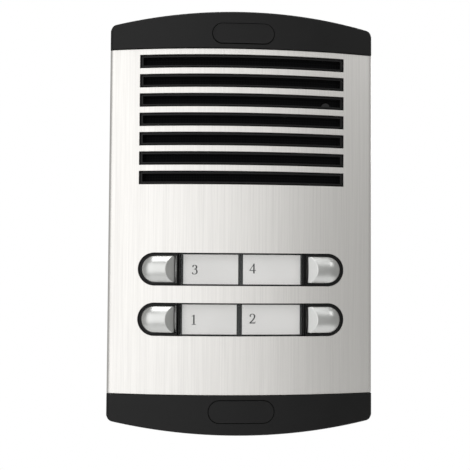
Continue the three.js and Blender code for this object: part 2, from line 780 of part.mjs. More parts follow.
// ---------------------------------------------------------------- assembly

rearHousing();
wallGasket();
cableGrommet();
chassis();
frontPlate();
topCap();
bottomCap();
ovals();
lockScrew();
speakerGrille();
acousticCloth();
speakerParts();
microphoneParts();
Object.entries(rows).forEach(([row, z]) => {
  buttonFrame(row, z);
  nameWindow(row, z);
  lightGuide(row, z);
});
nameCards.forEach(nameCard);
buttons.forEach((each) => {
  buttonCap(each);
  returnSpring(each);
  switchDome(each);
});
circuitBoard();
speakerLead();
screws();

export default group;
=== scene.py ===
"""Door intercom panel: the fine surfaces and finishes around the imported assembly.

The aluminium face, the black end caps, the grille, the call rows and the buttons are modelled here
to their full detail and stand for their CAD nodes. The housing, the chassis and everything inside
keep their CAD shapes and get rounded edges and finishes of their own. Sizes are in millimetres until
they reach Blender.
"""

from __future__ import annotations

import sys

import json
import logging
import math
from dataclasses import dataclass, field
from enum import Enum
from typing import Callable, Iterable, Sequence

import bmesh
import bpy
from bpy.types import Material, Node, NodeSocket, Object
from mathutils import Matrix, Vector

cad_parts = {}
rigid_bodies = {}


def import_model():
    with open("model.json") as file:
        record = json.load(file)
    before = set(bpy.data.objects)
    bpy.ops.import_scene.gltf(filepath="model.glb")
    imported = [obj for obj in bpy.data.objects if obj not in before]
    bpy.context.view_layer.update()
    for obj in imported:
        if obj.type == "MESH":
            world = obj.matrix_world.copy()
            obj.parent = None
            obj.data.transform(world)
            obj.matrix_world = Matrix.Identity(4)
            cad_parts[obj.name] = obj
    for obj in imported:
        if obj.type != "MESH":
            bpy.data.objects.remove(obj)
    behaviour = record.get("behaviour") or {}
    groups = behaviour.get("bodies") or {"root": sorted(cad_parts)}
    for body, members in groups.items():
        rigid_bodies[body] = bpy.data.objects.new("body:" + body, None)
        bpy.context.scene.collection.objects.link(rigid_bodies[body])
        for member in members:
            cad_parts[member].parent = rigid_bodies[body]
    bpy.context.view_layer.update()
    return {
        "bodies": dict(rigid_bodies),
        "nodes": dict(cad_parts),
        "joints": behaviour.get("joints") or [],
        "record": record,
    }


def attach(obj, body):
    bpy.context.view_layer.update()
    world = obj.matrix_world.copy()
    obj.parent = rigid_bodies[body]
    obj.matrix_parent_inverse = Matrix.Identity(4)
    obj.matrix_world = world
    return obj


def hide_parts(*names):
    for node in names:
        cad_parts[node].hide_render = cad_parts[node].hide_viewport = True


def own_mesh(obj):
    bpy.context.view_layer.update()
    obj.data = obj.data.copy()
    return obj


LOG = logging.getLogger("intercom")
MM = 0.001
FAR = 70.0
GAP = 0.3
SMOOTH_ANGLE = 40.0
EDGE_ANGLE = 50.0
ROW_HEIGHTS = {"upper": -22.5, "lower": -46.1}

Point = Sequence[float]
Span = tuple[float, float]
Triple = tuple[float, float, float]
Test = Callable[[Vector], bool]


# --- the panel's shape


@dataclass(frozen=True)
class PanelShape:
    """The curves that every piece of the front shares, in millimetres.

    x runs to the right, z up, and the face looks along -y. A depth is counted behind the face.
    """

    half_width: float = 63.5
    half_height: float = 100.0
    arch_rise: float = 6.0
    corner: float = 3.5
    crown_y: float = -36.5
    face_rise: float = 8.0
    bend: float = 2.5
    back_y: float = -12.0
    top_seam: float = 82.5
    bottom_seam: float = -81.5

    @property
    def face_radius(self) -> float:
        """Radius of the face's curve, seen from above."""
        return (self.half_width**2 + self.face_rise**2) / (2 * self.face_rise)

    @property
    def face_centre_y(self) -> float:
        """Where that curve's centre lies."""
        return self.crown_y + self.face_radius

    @property
    def arch_radius(self) -> float:
        """Radius of the arched top and bottom, seen from the front."""
        return (self.half_width**2 + self.arch_rise**2) / (2 * self.arch_rise)

    def face_y(self, x: float, depth: float = 0.0) -> float:
        """Where the surface at a depth lies, at x."""
        return self.face_centre_y - math.sqrt((self.face_radius - depth) ** 2 - x * x)

    def slope(self, x: float) -> float:
        """The face's turn about the vertical at x, in radians."""
        return math.asin(x / self.face_radius)

    def top_z(self, x: float) -> float:
        """Height of the arched outline at x, with its rounded corner.

        Args:
            x: Distance from the middle, either way.

        Returns:
            The height in millimetres.
        """
        centre = self.half_height - self.arch_radius
        corner_x = self.half_width - self.corner
        reach = self.arch_radius - self.corner
        corner_z = centre + math.sqrt(reach**2 - corner_x**2)
        lean_x = corner_x * self.arch_radius / reach
        across = min(abs(x), self.half_width)
        if across <= lean_x:
            return centre + math.sqrt(self.arch_radius**2 - across**2)
        return corner_z + math.sqrt(max(self.corner**2 - (across - corner_x) ** 2, 0.0))


SHAPE = PanelShape()


@dataclass(frozen=True)
class Steps:
    """How many edges each kind of arc is drawn with."""

    rod: int = 48
    stadium_end: int = 34
    well_end: int = 40
    face: int = 89
    face_bend: int = 6
    face_cutter: int = 96
    pocket: int = 64
    arch: int = 72
    arch_corner: int = 8
    dome: int = 32
    wire: int = 12


STEPS = Steps()


class Axis(Enum):
    """The direction a tool works along."""

    X = (1.0, 0.0, 0.0)
    Y = (0.0, 1.0, 0.0)
    Z = (0.0, 0.0, 1.0)


class Join(Enum):
    """How one solid works on another."""

    CUT = "DIFFERENCE"
    ADD = "UNION"
    KEEP = "INTERSECT"


# --- the workbench


class Bench:
    """Edit-mode and modifier operations, as done by hand on one piece at a time."""

    @staticmethod
    def clear() -> None:
        """Leaves edit mode and deselects everything."""
        if bpy.context.object and bpy.context.object.mode != "OBJECT":
            bpy.ops.object.mode_set(mode="OBJECT")
        bpy.ops.object.select_all(action="DESELECT")

    @staticmethod
    def hold(piece: Object) -> None:
        """Makes a piece the only selected and active one.

        Args:
            piece: The piece worked on.
        """
        Bench.clear()
        piece.select_set(True)
        bpy.context.view_layer.objects.active = piece

    @staticmethod
    def edit(piece: Object) -> None:
        """Opens a piece in edit mode with nothing selected.

        Args:
            piece: The piece worked on.
        """
        Bench.hold(piece)
        bpy.ops.object.mode_set(mode="EDIT")
        bpy.ops.mesh.select_all(action="DESELECT")

    @staticmethod
    def select_faces(piece: Object, test: Callable[[Vector, Vector], bool]) -> None:
        """Selects the open mesh's faces by their middle and normal.

        Args:
            piece: The piece open in edit mode.
            test: Takes a face's middle in millimetres and its normal.
        """
        bpy.ops.mesh.select_mode(type="FACE")
        bpy.ops.mesh.select_all(action="DESELECT")
        mesh = bmesh.from_edit_mesh(piece.data)
        for face in mesh.faces:
            if test(piece.matrix_world @ face.calc_center_median() / MM, face.normal):
                face.select_set(True)
        bmesh.update_edit_mesh(piece.data)

    @staticmethod
    def tidy(piece: Object) -> Object:
        """Welds doubles, turns normals outwards and puts the origin back at the frame's.

        Args:
            piece: The piece worked on.

        Returns:
            The piece.
        """
        Bench.edit(piece)
        bpy.ops.mesh.select_all(action="SELECT")
        bpy.ops.mesh.remove_doubles(threshold=0.002 * MM)
        bpy.ops.mesh.normals_make_consistent(inside=False)
        bpy.ops.object.mode_set(mode="OBJECT")
        bpy.ops.object.transform_apply(location=True, rotation=True, scale=True)
        return piece

    @staticmethod
    def modify(piece: Object, kind: str, **settings: object) -> Object:
        """Adds a modifier with its settings and applies it.

        Args:
            piece: The piece worked on.
            kind: The kind of modifier, as Blender names it.
            **settings: Its properties by name.

        Returns:
            The piece.
        """
        Bench.hold(piece)
        modifier = piece.modifiers.new(kind.title(), kind)
        for key, value in settings.items():
            setattr(modifier, key, value)
        bpy.ops.object.modifier_apply(modifier=modifier.name)
        return piece

    @staticmethod
    def thicken(piece: Object, inward: float) -> Object:
        """Gives a skin its wall, behind its outer side, in millimetres."""
        return Bench.modify(
            piece, "SOLIDIFY", thickness=inward * MM, offset=-1.0, use_even_offset=True
        )

    @staticmethod
    def combine(piece: Object, tool: Object, how: Join) -> Object:
        """Works one solid on another, using the second up.

        Args:
            piece: The piece worked on.
            tool: The second solid, which is used up.
            how: Cut, add or keep what is common.

        Returns:
            The piece.
        """
        Bench.modify(piece, "BOOLEAN", object=tool, operation=how.value, solver="EXACT")
        bpy.data.objects.remove(tool, do_unlink=True)
        return piece

    @staticmethod
    def mark_edges(piece: Object, angle: float, test: Test) -> None:
        """Marks the edges that are sharper than an angle and whose ends pass a test.

        Args:
            piece: The piece worked on.
            angle: Edges sharper than this many degrees are meant.
            test: Takes a point in millimetres.
        """
        Bench.edit(piece)
        bpy.ops.mesh.select_mode(type="EDGE")
        mesh = bmesh.from_edit_mesh(piece.data)
        for edge in mesh.edges:
            ends = (piece.matrix_world @ vert.co / MM for vert in edge.verts)
            sharp = edge.calc_face_angle(0.0) >= math.radians(angle)
            if sharp and all(test(end) for end in ends):
                edge.select_set(True)
        bmesh.update_edit_mesh(piece.data)
        bpy.ops.transform.edge_bevelweight(value=1.0)
        Bench.clear()

    @staticmethod
    def soften(
        piece: Object, width: float, segments: int, angle: float = 40.0, marked: bool = False
    ) -> Object:
        """Rounds edges by a width in millimetres.

        Args:
            piece: The piece.
            width: The rounding's width.
            segments: The number of facets.
            angle: Sharper edges than this are rounded.
            marked: True to round the marked edges instead.

        Returns:
            The piece.
        """
        return Bench.modify(
            piece,
            "BEVEL",
            width=width * MM,
            segments=segments,
            limit_method="WEIGHT" if marked else "ANGLE",
            angle_limit=math.radians(angle),
            use_clamp_overlap=False,
            miter_outer="MITER_ARC",
        )

    @staticmethod
    def smooth(piece: Object, angle: float = SMOOTH_ANGLE) -> Object:
        """Shades a piece smooth, with edges sharper than the angle kept.

        Args:
            piece: The piece worked on.
            angle: Edges sharper than this many degrees stay sharp.

        Returns:
            The piece.
        """
        Bench.hold(piece)
        bpy.ops.object.shade_smooth_by_angle(angle=math.radians(angle))
        Bench.modify(piece, "WEIGHTED_NORMAL", mode="FACE_AREA", weight=80, keep_sharp=True)
        Bench.clear()
        return piece

    @staticmethod
    def finish(
        piece: Object, width: float, segments: int = 2, angle: float = EDGE_ANGLE
    ) -> Object:
        """Breaks a piece's sharp edges by a width in millimetres and shades it smooth."""
        Bench.soften(piece, width, segments, angle)
        return Bench.smooth(piece)

    @staticmethod
    def place(piece: Object, at: Point, turn: float = 0.0) -> None:
        """Turns a piece about the upright through the frame's origin, then moves it.

        Args:
            piece: The piece.
            at: How far it moves, in millimetres.
            turn: The angle in radians.
        """
        Bench.edit(piece)
        bpy.ops.mesh.select_all(action="SELECT")
        if turn:
            bpy.ops.transform.rotate(value=-turn, orient_axis="Z", center_override=(0.0, 0.0, 0.0))
        bpy.ops.transform.translate(value=Vector(at) * MM)
        Bench.clear()

    @staticmethod
    def copy(piece: Object, name: str, offset: Point) -> Object:
        """A copy with its own mesh, moved by an offset in millimetres.

        Args:
            piece: The piece worked on.
            name: The piece's name.
            offset: How far the copy is moved, in millimetres.

        Returns:
            The piece.
        """
        twin = piece.copy()
        twin.data = piece.data.copy()
        twin.name = twin.data.name = name
        bpy.context.scene.collection.objects.link(twin)
        Bench.place(twin, offset)
        return twin

    @staticmethod
    def score(axis: Axis, places: Iterable[float]) -> None:
        """Cuts a line of edges through the open mesh at each place along an axis.

        Args:
            axis: The axis that the cuts stand across.
            places: Where the cuts lie, in millimetres.
        """
        for place in places:
            bpy.ops.mesh.select_all(action="SELECT")
            bpy.ops.mesh.bisect(plane_co=Vector(axis.value) * place * MM, plane_no=axis.value)

    @staticmethod
    def flip(piece: Object, axis: Axis) -> Object:
        """Mirrors a piece through the frame's origin and turns its normals outwards again.

        Args:
            piece: The piece worked on.
            axis: The axis that it is mirrored along.

        Returns:
            The piece.
        """
        Bench.edit(piece)
        bpy.ops.mesh.select_all(action="SELECT")
        scale = [1.0 - 2.0 * part for part in axis.value]
        bpy.ops.transform.resize(value=scale, center_override=(0.0, 0.0, 0.0))
        Bench.clear()
        return Bench.tidy(piece)


class Pen:
    """Draws an outline in edit mode as a chain of edges, one stroke after another."""

    def __init__(self, name: str, start: Point) -> None:
        """Starts the line at a point in millimetres.

        Args:
            name: The name of what is made.
            start: The first point, in millimetres.
        """
        Bench.clear()
        bpy.ops.mesh.primitive_plane_add(size=MM, location=Vector(start) * MM)
        self.piece: Object = bpy.context.object
        self.piece.name = name
        self.piece.data.name = name
        bpy.ops.object.mode_set(mode="EDIT")
        bpy.ops.mesh.select_mode(type="VERT")
        bpy.ops.mesh.select_all(action="SELECT")
        bpy.ops.mesh.merge(type="CENTER")
        self.at = Vector(start)

    def line(self, point: Point) -> Pen:
        """Draws a straight stroke to a point.

        Args:
            point: The stroke's end, in millimetres.

        Returns:
            The pen, ready for the next stroke.
        """
        target = Vector(point)
        if (target - self.at).length > 1e-4:
            step = (target - self.at) * MM
            bpy.ops.mesh.extrude_vertices_move(TRANSFORM_OT_translate={"value": step})
            self.at = target
        return self

    def arc(self, centre: Point, axis: Axis, degrees: float, steps: int) -> Pen:
        """Draws an arc about a centre; positive turns by the right-hand rule.

        Args:
            centre: A point on the axis, in millimetres.
            axis: The axis that the arc turns about.
            degrees: How far it turns.
            steps: The number of edges.

        Returns:
            The pen, at the arc's end.
        """
        middle = Vector(centre)
        bpy.ops.mesh.spin(
            steps=steps, angle=-math.radians(degrees), center=middle * MM, axis=axis.value
        )
        turn = Matrix.Rotation(math.radians(degrees), 3, Vector(axis.value))
        self.at = middle + turn @ (self.at - middle)
        return self

    def pull(self, along: Point) -> Pen:
        """Carries the whole drawing along a direction, leaving a surface behind it.

        Args:
            along: The direction and distance, in millimetres.

        Returns:
            The pen, ready for the next stroke.
        """
        bpy.ops.mesh.select_all(action="SELECT")
        bpy.ops.mesh.extrude_region_move(TRANSFORM_OT_translate={"value": Vector(along) * MM})
        return self

    def fill(self) -> Pen:
        """Closes the outline and fills it with a face.

        Returns:
            The pen, ready for the next stroke.
        """
        bpy.ops.mesh.select_all(action="SELECT")
        bpy.ops.mesh.remove_doubles(threshold=0.005 * MM)
        bpy.ops.mesh.edge_face_add()
        return self

    def lift(self) -> Object:
        """Puts the pen down and hands over the finished mesh."""
        return Bench.tidy(self.piece)


class Stock:
    """Plain solids and skins that pieces are worked from."""

    @staticmethod
    def block(x: Point, y: Point, z: Point) -> Object:
        """A block between two values on each axis.

        Args:
            x: Where it lies from left to right.
            y: Where it starts and ends from front to back.
            z: Its height, or its lower and upper end.

        Returns:
            The solid.
        """
        pen = Pen("block", (x[0], y[0], z[0]))
        pen.line((x[1], y[0], z[0])).line((x[1], y[1], z[0])).line((x[0], y[1], z[0]))
        pen.line((x[0], y[0], z[0])).fill().pull((0.0, 0.0, z[1] - z[0]))
        return pen.lift()

    @staticmethod
    def rod(x: float, z: float, radius: float, y: Point) -> Object:
        """A round bar along y.

        Args:
            x: Where it lies from left to right.
            z: Its height, or its lower and upper end.
            radius: Its radius.
            y: Where it starts and ends from front to back.

        Returns:
            The solid.
        """
        pen = Pen("rod", (x + radius, y[0], z))
        pen.arc((x, y[0], z), Axis.Y, 360.0, STEPS.rod).fill()
        return pen.pull((0.0, y[1] - y[0], 0.0)).lift()

    @staticmethod
    def stadium(z: float, half_length: float, half_height: float, y: Point) -> Object:
        """A bar along y with straight long sides and round ends.

        Args:
            z: Its height, or its lower and upper end.
            half_length: Half of its length.
            half_height: Half of its height.
            y: Where it starts and ends from front to back.

        Returns:
            The solid.
        """
        straight = half_length - half_height
        pen = Pen("stadium", (straight, y[0], z - half_height))
        pen.arc((straight, y[0], z), Axis.Y, -180.0, STEPS.stadium_end)
        pen.line((-straight, y[0], z + half_height))
        pen.arc((-straight, y[0], z), Axis.Y, -180.0, STEPS.stadium_end)
        pen.line((straight, y[0], z - half_height)).fill().pull((0.0, y[1] - y[0], 0.0))
        return pen.lift()

    @staticmethod
    def behind(depth: float, z: Point) -> Object:
        """Everything behind the curved surface at a depth, between two heights.

        Args:
            depth: How far behind the face it lies.
            z: Its height, or its lower and upper end.

        Returns:
            The solid.
        """
        reach, back = 66.0, 4.0
        lean = math.degrees(math.asin(reach / (SHAPE.face_radius - depth)))
        pen = Pen("behind", (-reach, SHAPE.face_y(reach, depth), z[0]))
        pen.arc((0.0, SHAPE.face_centre_y, z[0]), Axis.Z, 2 * lean, STEPS.face_cutter)
        pen.line((reach, back, z[0])).line((-reach, back, z[0]))
        pen.line((-reach, SHAPE.face_y(reach, depth), z[0])).fill()
        pen.pull((0.0, 0.0, z[1] - z[0]))
        return pen.lift()

    @staticmethod
    def before(depth: float, half: float, z: Point) -> Object:
        """Everything in front of the curved surface at a depth, across a width.

        Args:
            depth: How far behind the face it lies.
            half: Half of its width.
            z: Its height, or its lower and upper end.

        Returns:
            The solid.
        """
        lean = math.degrees(math.asin(half / (SHAPE.face_radius - depth)))
        pen = Pen("before", (-half, SHAPE.face_y(half, depth), z[0]))
        pen.arc((0.0, SHAPE.face_centre_y, z[0]), Axis.Z, 2 * lean, STEPS.pocket)
        pen.line((half, -FAR, z[0])).line((-half, -FAR, z[0]))
        pen.line((-half, SHAPE.face_y(half, depth), z[0])).fill()
        pen.pull((0.0, 0.0, z[1] - z[0]))
        return pen.lift()

    @staticmethod
    def sheet(name: str, x: Point, z: Point, depth: float, steps: int = 60) -> Object:
        """A curved skin at a depth, without thickness, facing forwards.

        Args:
            name: The piece's name.
            x: Where it lies from left to right.
            z: Its height, or its lower and upper end.
            depth: How far behind the face it lies.
            steps: The number of edges along the curve.

        Returns:
            The skin.
        """
        radius = SHAPE.face_radius - depth
        turn = math.degrees(math.asin(x[1] / radius) - math.asin(x[0] / radius))
        pen = Pen(name, (x[0], SHAPE.face_y(x[0], depth), z[0]))
        pen.arc((0.0, SHAPE.face_centre_y, z[0]), Axis.Z, turn, steps)
        pen.pull((0.0, 0.0, z[1] - z[0]))
        return Stock.face_forward(pen.lift())

    @staticmethod
    def face_forward(skin: Object) -> Object:
        """Turns an open skin's normals towards -y.

        Args:
            skin: The open skin.

        Returns:
            The piece.
        """
        Bench.edit(skin)
        bpy.ops.mesh.select_all(action="SELECT")
        mesh = bmesh.from_edit_mesh(skin.data)
        leaning = sum(face.normal.y * face.calc_area() for face in mesh.faces)
        if leaning > 0:
            bpy.ops.mesh.flip_normals()
        Bench.clear()
        return skin

    @staticmethod
    def section(
        name: str,
        depth: float,
        z: Point,
        inset: float = 0.0,
        back: float | None = None,
    ) -> Object:
        """The front's section drawn upwards: a side, a bend, the curved face, a bend and a side.

        Args:
            name: The piece's name.
            depth: How far inside the aluminium face the curved part lies, negative when proud.
            z: The lower and upper end.
            inset: How far inside the outer sides the sides lie.
            back: Where a solid section closes. Left out, it stays an open skin.

        Returns:
            The skin or solid, facing outwards.
        """
        half, bend = SHAPE.half_width - inset, max(SHAPE.bend - inset, 0.3)
        radius = SHAPE.face_radius - depth
        lean = math.asin((half - bend) / (radius - bend))
        bend_y = SHAPE.face_centre_y - (radius - bend) * math.cos(lean)
        corner = 90.0 - math.degrees(lean)
        rim = SHAPE.back_y if back is None else back
        pen = Pen(name, (-half, rim, z[0]))
        pen.line((-half, bend_y, z[0]))
        pen.arc((-half + bend, bend_y, z[0]), Axis.Z, corner, STEPS.face_bend)
        hub = (0.0, SHAPE.face_centre_y, z[0])
        pen.arc(hub, Axis.Z, 2 * math.degrees(lean), STEPS.face)
        pen.arc((half - bend, bend_y, z[0]), Axis.Z, corner, STEPS.face_bend)
        pen.line((half, rim, z[0]))
        if back is None:
            return Stock.face_forward(pen.pull((0.0, 0.0, z[1] - z[0])).lift())
        return pen.line((-half, rim, z[0])).fill().pull((0.0, 0.0, z[1] - z[0])).lift()

    @staticmethod
    def arched(inset: float, low: float) -> Object:
        """A bar along y under the arched outline.

        Args:
            inset: How far inside the panel's outline it lies.
            low: The height of its flat lower side.

        Returns:
            The solid.
        """
        half, corner = SHAPE.half_width - inset, max(SHAPE.corner - inset, 0.4)
        centre = SHAPE.half_height - SHAPE.arch_radius
        reach = SHAPE.arch_radius - inset - corner
        hub_x = half - corner
        hub_z = centre + math.sqrt(reach**2 - hub_x**2)
        lean = math.degrees(math.asin(hub_x / reach))
        pen = Pen("arched", (half, -FAR, low))
        pen.line((half, -FAR, hub_z))
        pen.arc((hub_x, -FAR, hub_z), Axis.Y, lean - 90.0, STEPS.arch_corner)
        pen.arc((0.0, -FAR, centre), Axis.Y, -2 * lean, STEPS.arch)
        pen.arc((-hub_x, -FAR, hub_z), Axis.Y, lean - 90.0, STEPS.arch_corner)
        pen.line((-half, -FAR, low)).line((half, -FAR, low)).fill()
        return pen.pull((0.0, FAR + 10.0, 0.0)).lift()


# --- finishes


class Recipe:
    """One material's node tree, built up a node at a time."""

    def __init__(self, name: str) -> None:
        """Starts a material with its shader and its object coordinates.

        Args:
            name: The name of what is made.
        """
        self.material: Material = bpy.data.materials.new(name)
        self.material.use_nodes = True
        self.tree = self.material.node_tree
        self.tree.nodes.clear()
        output = self.tree.nodes.new("ShaderNodeOutputMaterial")
        self.shader = self.tree.nodes.new("ShaderNodeBsdfPrincipled")
        self.tree.links.new(self.shader.outputs["BSDF"], output.inputs["Surface"])
        self.place = self.tree.nodes.new("ShaderNodeTexCoord").outputs["Object"]

    def set(self, **values: object) -> Recipe:
        """Sets the shader's own sockets; an underscore in a name stands for a space.

        Args:
            **values: The sockets' values by name.

        Returns:
            The recipe.
        """
        for key, value in values.items():
            self.shader.inputs[key.replace("_", " ")].default_value = value
        return self

    def node(self, kind: str, **settings: object) -> Node:
        """Adds a node and sets its properties.

        Args:
            kind: The node's type, without its prefix.
            **settings: Its properties by name.

        Returns:
            The new node.
        """
        node = self.tree.nodes.new("ShaderNode" + kind)
        for key, value in settings.items():
            setattr(node, key, value)
        return node

    def join(self, source: NodeSocket, node: Node, socket: str | int) -> None:
        """Links a socket into a node's input."""
        self.tree.links.new(source, node.inputs[socket])

    def stretched(self, scale: Point) -> NodeSocket:
        """Object coordinates scaled by a different number on each axis.

        Args:
            scale: The number for each axis.

        Returns:
            The scaled coordinates' socket.
        """
        mapping = self.node("Mapping")
        mapping.inputs["Scale"].default_value = scale
        self.join(self.place, mapping, "Vector")
        return mapping.outputs["Vector"]

    def noise(
        self, scale: float, detail: float = 2.0, rough: float = 0.5, where: NodeSocket | None = None
    ) -> NodeSocket:
        """A noise pattern, in features per metre.

        Args:
            scale: How often the pattern repeats.
            detail: How many finer layers it has.
            rough: How strong those layers are.
            where: The coordinates that it is laid on.

        Returns:
            The resulting pattern's socket.
        """
        noise = self.node("TexNoise")
        noise.inputs["Scale"].default_value = scale
        noise.inputs["Detail"].default_value = detail
        noise.inputs["Roughness"].default_value = rough
        self.join(where or self.place, noise, "Vector")
        return noise.outputs["Fac"]

    def spread(self, source: NodeSocket, low: Point, high: Point) -> NodeSocket:
        """Maps a pattern from one range of numbers to another.

        Args:
            source: The pattern that drives it.
            low: The range that the pattern comes in.
            high: The range that it is mapped to.

        Returns:
            The resulting pattern's socket.
        """
        mapped = self.node("MapRange")
        mapped.inputs["From Min"].default_value = low[0]
        mapped.inputs["From Max"].default_value = low[1]
        mapped.inputs["To Min"].default_value = high[0]
        mapped.inputs["To Max"].default_value = high[1]
        self.join(source, mapped, "Value")
        return mapped.outputs["Result"]

    def tint(self, source: NodeSocket, first: Point, second: Point) -> NodeSocket:
        """A colour that runs from the first to the second as the pattern rises.

        Args:
            source: The pattern that drives it.
            first: The colour at the pattern's low end.
            second: The colour at its high end.

        Returns:
            The colour's socket.
        """
        ramp = self.node("ValToRGB")
        ramp.color_ramp.elements[0].position = 0.25
        ramp.color_ramp.elements[1].position = 0.75
        ramp.color_ramp.elements[0].color = (*first, 1.0)
        ramp.color_ramp.elements[1].color = (*second, 1.0)
        self.join(source, ramp, "Fac")
        return ramp.outputs["Color"]

    def colour(self, source: NodeSocket) -> Recipe:
        """Feeds the base colour."""
        self.join(source, self.shader, "Base Color")
        return self

    def paint(self, source: NodeSocket, colour: Point, dark: float, light: float) -> Recipe:
        """Feeds a base colour that runs from a darker to a lighter shade of one colour."""
        return self.colour(self.tint(source, shade(colour, dark), shade(colour, light)))

    def roughness(self, source: NodeSocket, values: Point, span: Point = (0.3, 0.7)) -> Recipe:
        """Feeds the roughness: the pattern's span is mapped to two values."""
        self.join(self.spread(source, span, values), self.shader, "Roughness")
        return self

    def relief(self, source: NodeSocket, strength: float, distance: float) -> Recipe:
        """Raises a pattern as bump, its distance in millimetres.

        Args:
            source: The pattern that drives it.
            strength: How strongly it shows, from 0 to 1.
            distance: The height of the relief, in millimetres.

        Returns:
            The recipe.
        """
        bump = self.node("Bump")
        bump.inputs["Strength"].default_value = strength
        bump.inputs["Distance"].default_value = distance * MM
        self.join(source, bump, "Height")
        self.join(bump.outputs["Normal"], self.shader, "Normal")
        return self

    def sum(self, first: NodeSocket, second: NodeSocket, share: float) -> NodeSocket:
        """Adds a share of the second pattern to the first.

        Args:
            first: The pattern that is added to.
            second: The pattern that is added.
            share: How much of the second is added.

        Returns:
            The resulting pattern's socket.
        """
        added = self.node("Math", operation="MULTIPLY_ADD")
        self.join(second, added, 0)
        added.inputs[1].default_value = share
        self.join(first, added, 2)
        return added.outputs["Value"]


def shade(colour: Point, factor: float) -> Triple:
    """A colour made lighter or darker."""
    red, green, blue = (min(max(part * factor, 0.0), 1.0) for part in colour)
    return (red, green, blue)


@dataclass(frozen=True)
class BrushedAluminium:
    """Anodised sheet with fine brushing that runs up and down."""

    name: str = "brushed_aluminium"
    colour: Triple = (0.82, 0.805, 0.785)
    roughness: float = 0.42

    def make(self) -> Material:
        """Builds the material.

        Returns:
            The material.
        """
        recipe = Recipe(self.name)
        fine = recipe.noise(1.0, 3.0, 0.65, recipe.stretched((3400.0, 3400.0, 26.0)))
        broad = recipe.noise(1.0, 2.0, 0.5, recipe.stretched((900.0, 900.0, 9.0)))
        streak = recipe.sum(fine, broad, 0.5)
        cloud = recipe.noise(14.0, 3.0, 0.6)
        both = recipe.sum(streak, cloud, 0.12)
        recipe.set(Metallic=1.0)
        span = (0.55, 1.05)
        recipe.paint(recipe.spread(both, span, (0.0, 1.0)), self.colour, 0.95, 1.03)
        recipe.roughness(both, (self.roughness + 0.04, self.roughness - 0.02), span)
        recipe.relief(streak, 0.08, 0.01)
        return recipe.material


@dataclass(frozen=True)
class MouldedPlastic:
    """Moulded plastic with a fine grain and faint flow marks."""

    name: str
    colour: Triple
    roughness: float = 0.45
    grain: float = 2600.0
    depth: float = 0.02
    mottle: float = 0.16
    gloss: float = 0.22

    def make(self) -> Material:
        """Builds the material.

        Returns:
            The material.
        """
        recipe = Recipe(self.name)
        grain = recipe.noise(self.grain, 3.0, 0.55)
        flow = recipe.noise(38.0, 4.0, 0.55)
        rubbed = recipe.noise(190.0, 3.0, 0.6)
        shades = (1.0 - self.mottle, 1.0 + self.mottle)
        recipe.paint(recipe.sum(flow, grain, 0.15), self.colour, *shades)
        values = (self.roughness - 0.06, self.roughness + 0.08)
        recipe.roughness(recipe.sum(flow, rubbed, 0.6), values, (0.45, 1.1))
        recipe.relief(grain, 0.35, self.depth)
        recipe.set(IOR=1.5, Specular_IOR_Level=self.gloss)
        return recipe.material


@dataclass(frozen=True)
class SatinPlating:
    """Satin plated metal with the faint unevenness of a plated moulding."""

    name: str
    colour: Triple
    roughness: float = 0.24
    ripple: float = 0.012

    def make(self) -> Material:
        """Builds the material.

        Returns:
            The material.
        """
        recipe = Recipe(self.name)
        bloom = recipe.noise(120.0, 4.0, 0.6)
        fine = recipe.noise(3200.0, 2.0, 0.5)
        recipe.set(Metallic=1.0)
        recipe.paint(bloom, self.colour, 0.93, 1.05)
        values = (self.roughness - 0.05, self.roughness + 0.1)
        recipe.roughness(recipe.sum(bloom, fine, 0.4), values, (0.45, 0.95))
        recipe.relief(fine, 0.3, self.ripple)
        return recipe.material


@dataclass(frozen=True)
class CardPaper:
    """White card with a soft tooth and faint fibres."""

    name: str = "card_paper"
    colour: Triple = (0.87, 0.86, 0.85)

    def make(self) -> Material:
        """Builds the material.

        Returns:
            The material.
        """
        recipe = Recipe(self.name)
        fibre = recipe.noise(1.0, 4.0, 0.6, recipe.stretched((700.0, 700.0, 1900.0)))
        cloud = recipe.noise(45.0, 2.0, 0.5)
        recipe.paint(recipe.sum(cloud, fibre, 0.35), self.colour, 0.96, 1.03)
        recipe.roughness(fibre, (0.75, 0.92))
        recipe.relief(fibre, 0.3, 0.02)
        return recipe.material


@dataclass(frozen=True)
class WovenCloth:
    """A fine woven cloth, its threads running across and up."""

    name: str
    colour: Triple
    threads: float = 1500.0

    def make(self) -> Material:
        """Builds the material.

        Returns:
            The material.
        """
        recipe = Recipe(self.name)
        weave = []
        for direction in ("X", "Z"):
            wave = recipe.node("TexWave", bands_direction=direction)
            wave.inputs["Scale"].default_value = self.threads / math.tau
            recipe.join(recipe.place, wave, "Vector")
            weave.append(wave.outputs["Fac"])
        cross = recipe.sum(weave[0], weave[1], 1.0)
        fuzz = recipe.noise(900.0, 3.0, 0.6)
        both = recipe.sum(cross, fuzz, 0.5)
        recipe.paint(recipe.spread(both, (0.3, 2.1), (0.0, 1.0)), self.colour, 0.55, 1.4)
        recipe.roughness(fuzz, (0.85, 0.98))
        recipe.relief(both, 0.6, 0.06)
        recipe.set(Specular_IOR_Level=0.08)
        return recipe.material


@dataclass(frozen=True)
class ClearAcrylic:
    """A polished clear pane, thin enough to see through."""

    name: str = "clear_acrylic"
    opacity: float = 0.06

    def make(self) -> Material:
        """Builds the material.

        Returns:
            The material.
        """
        recipe = Recipe(self.name)
        haze = recipe.noise(60.0, 3.0, 0.5)
        recipe.set(Alpha=self.opacity, IOR=1.49)
        recipe.colour(recipe.tint(haze, (0.30, 0.32, 0.32), (0.36, 0.38, 0.38)))
        recipe.roughness(haze, (0.03, 0.08))
        recipe.relief(haze, 0.05, 0.02)
        return recipe.material


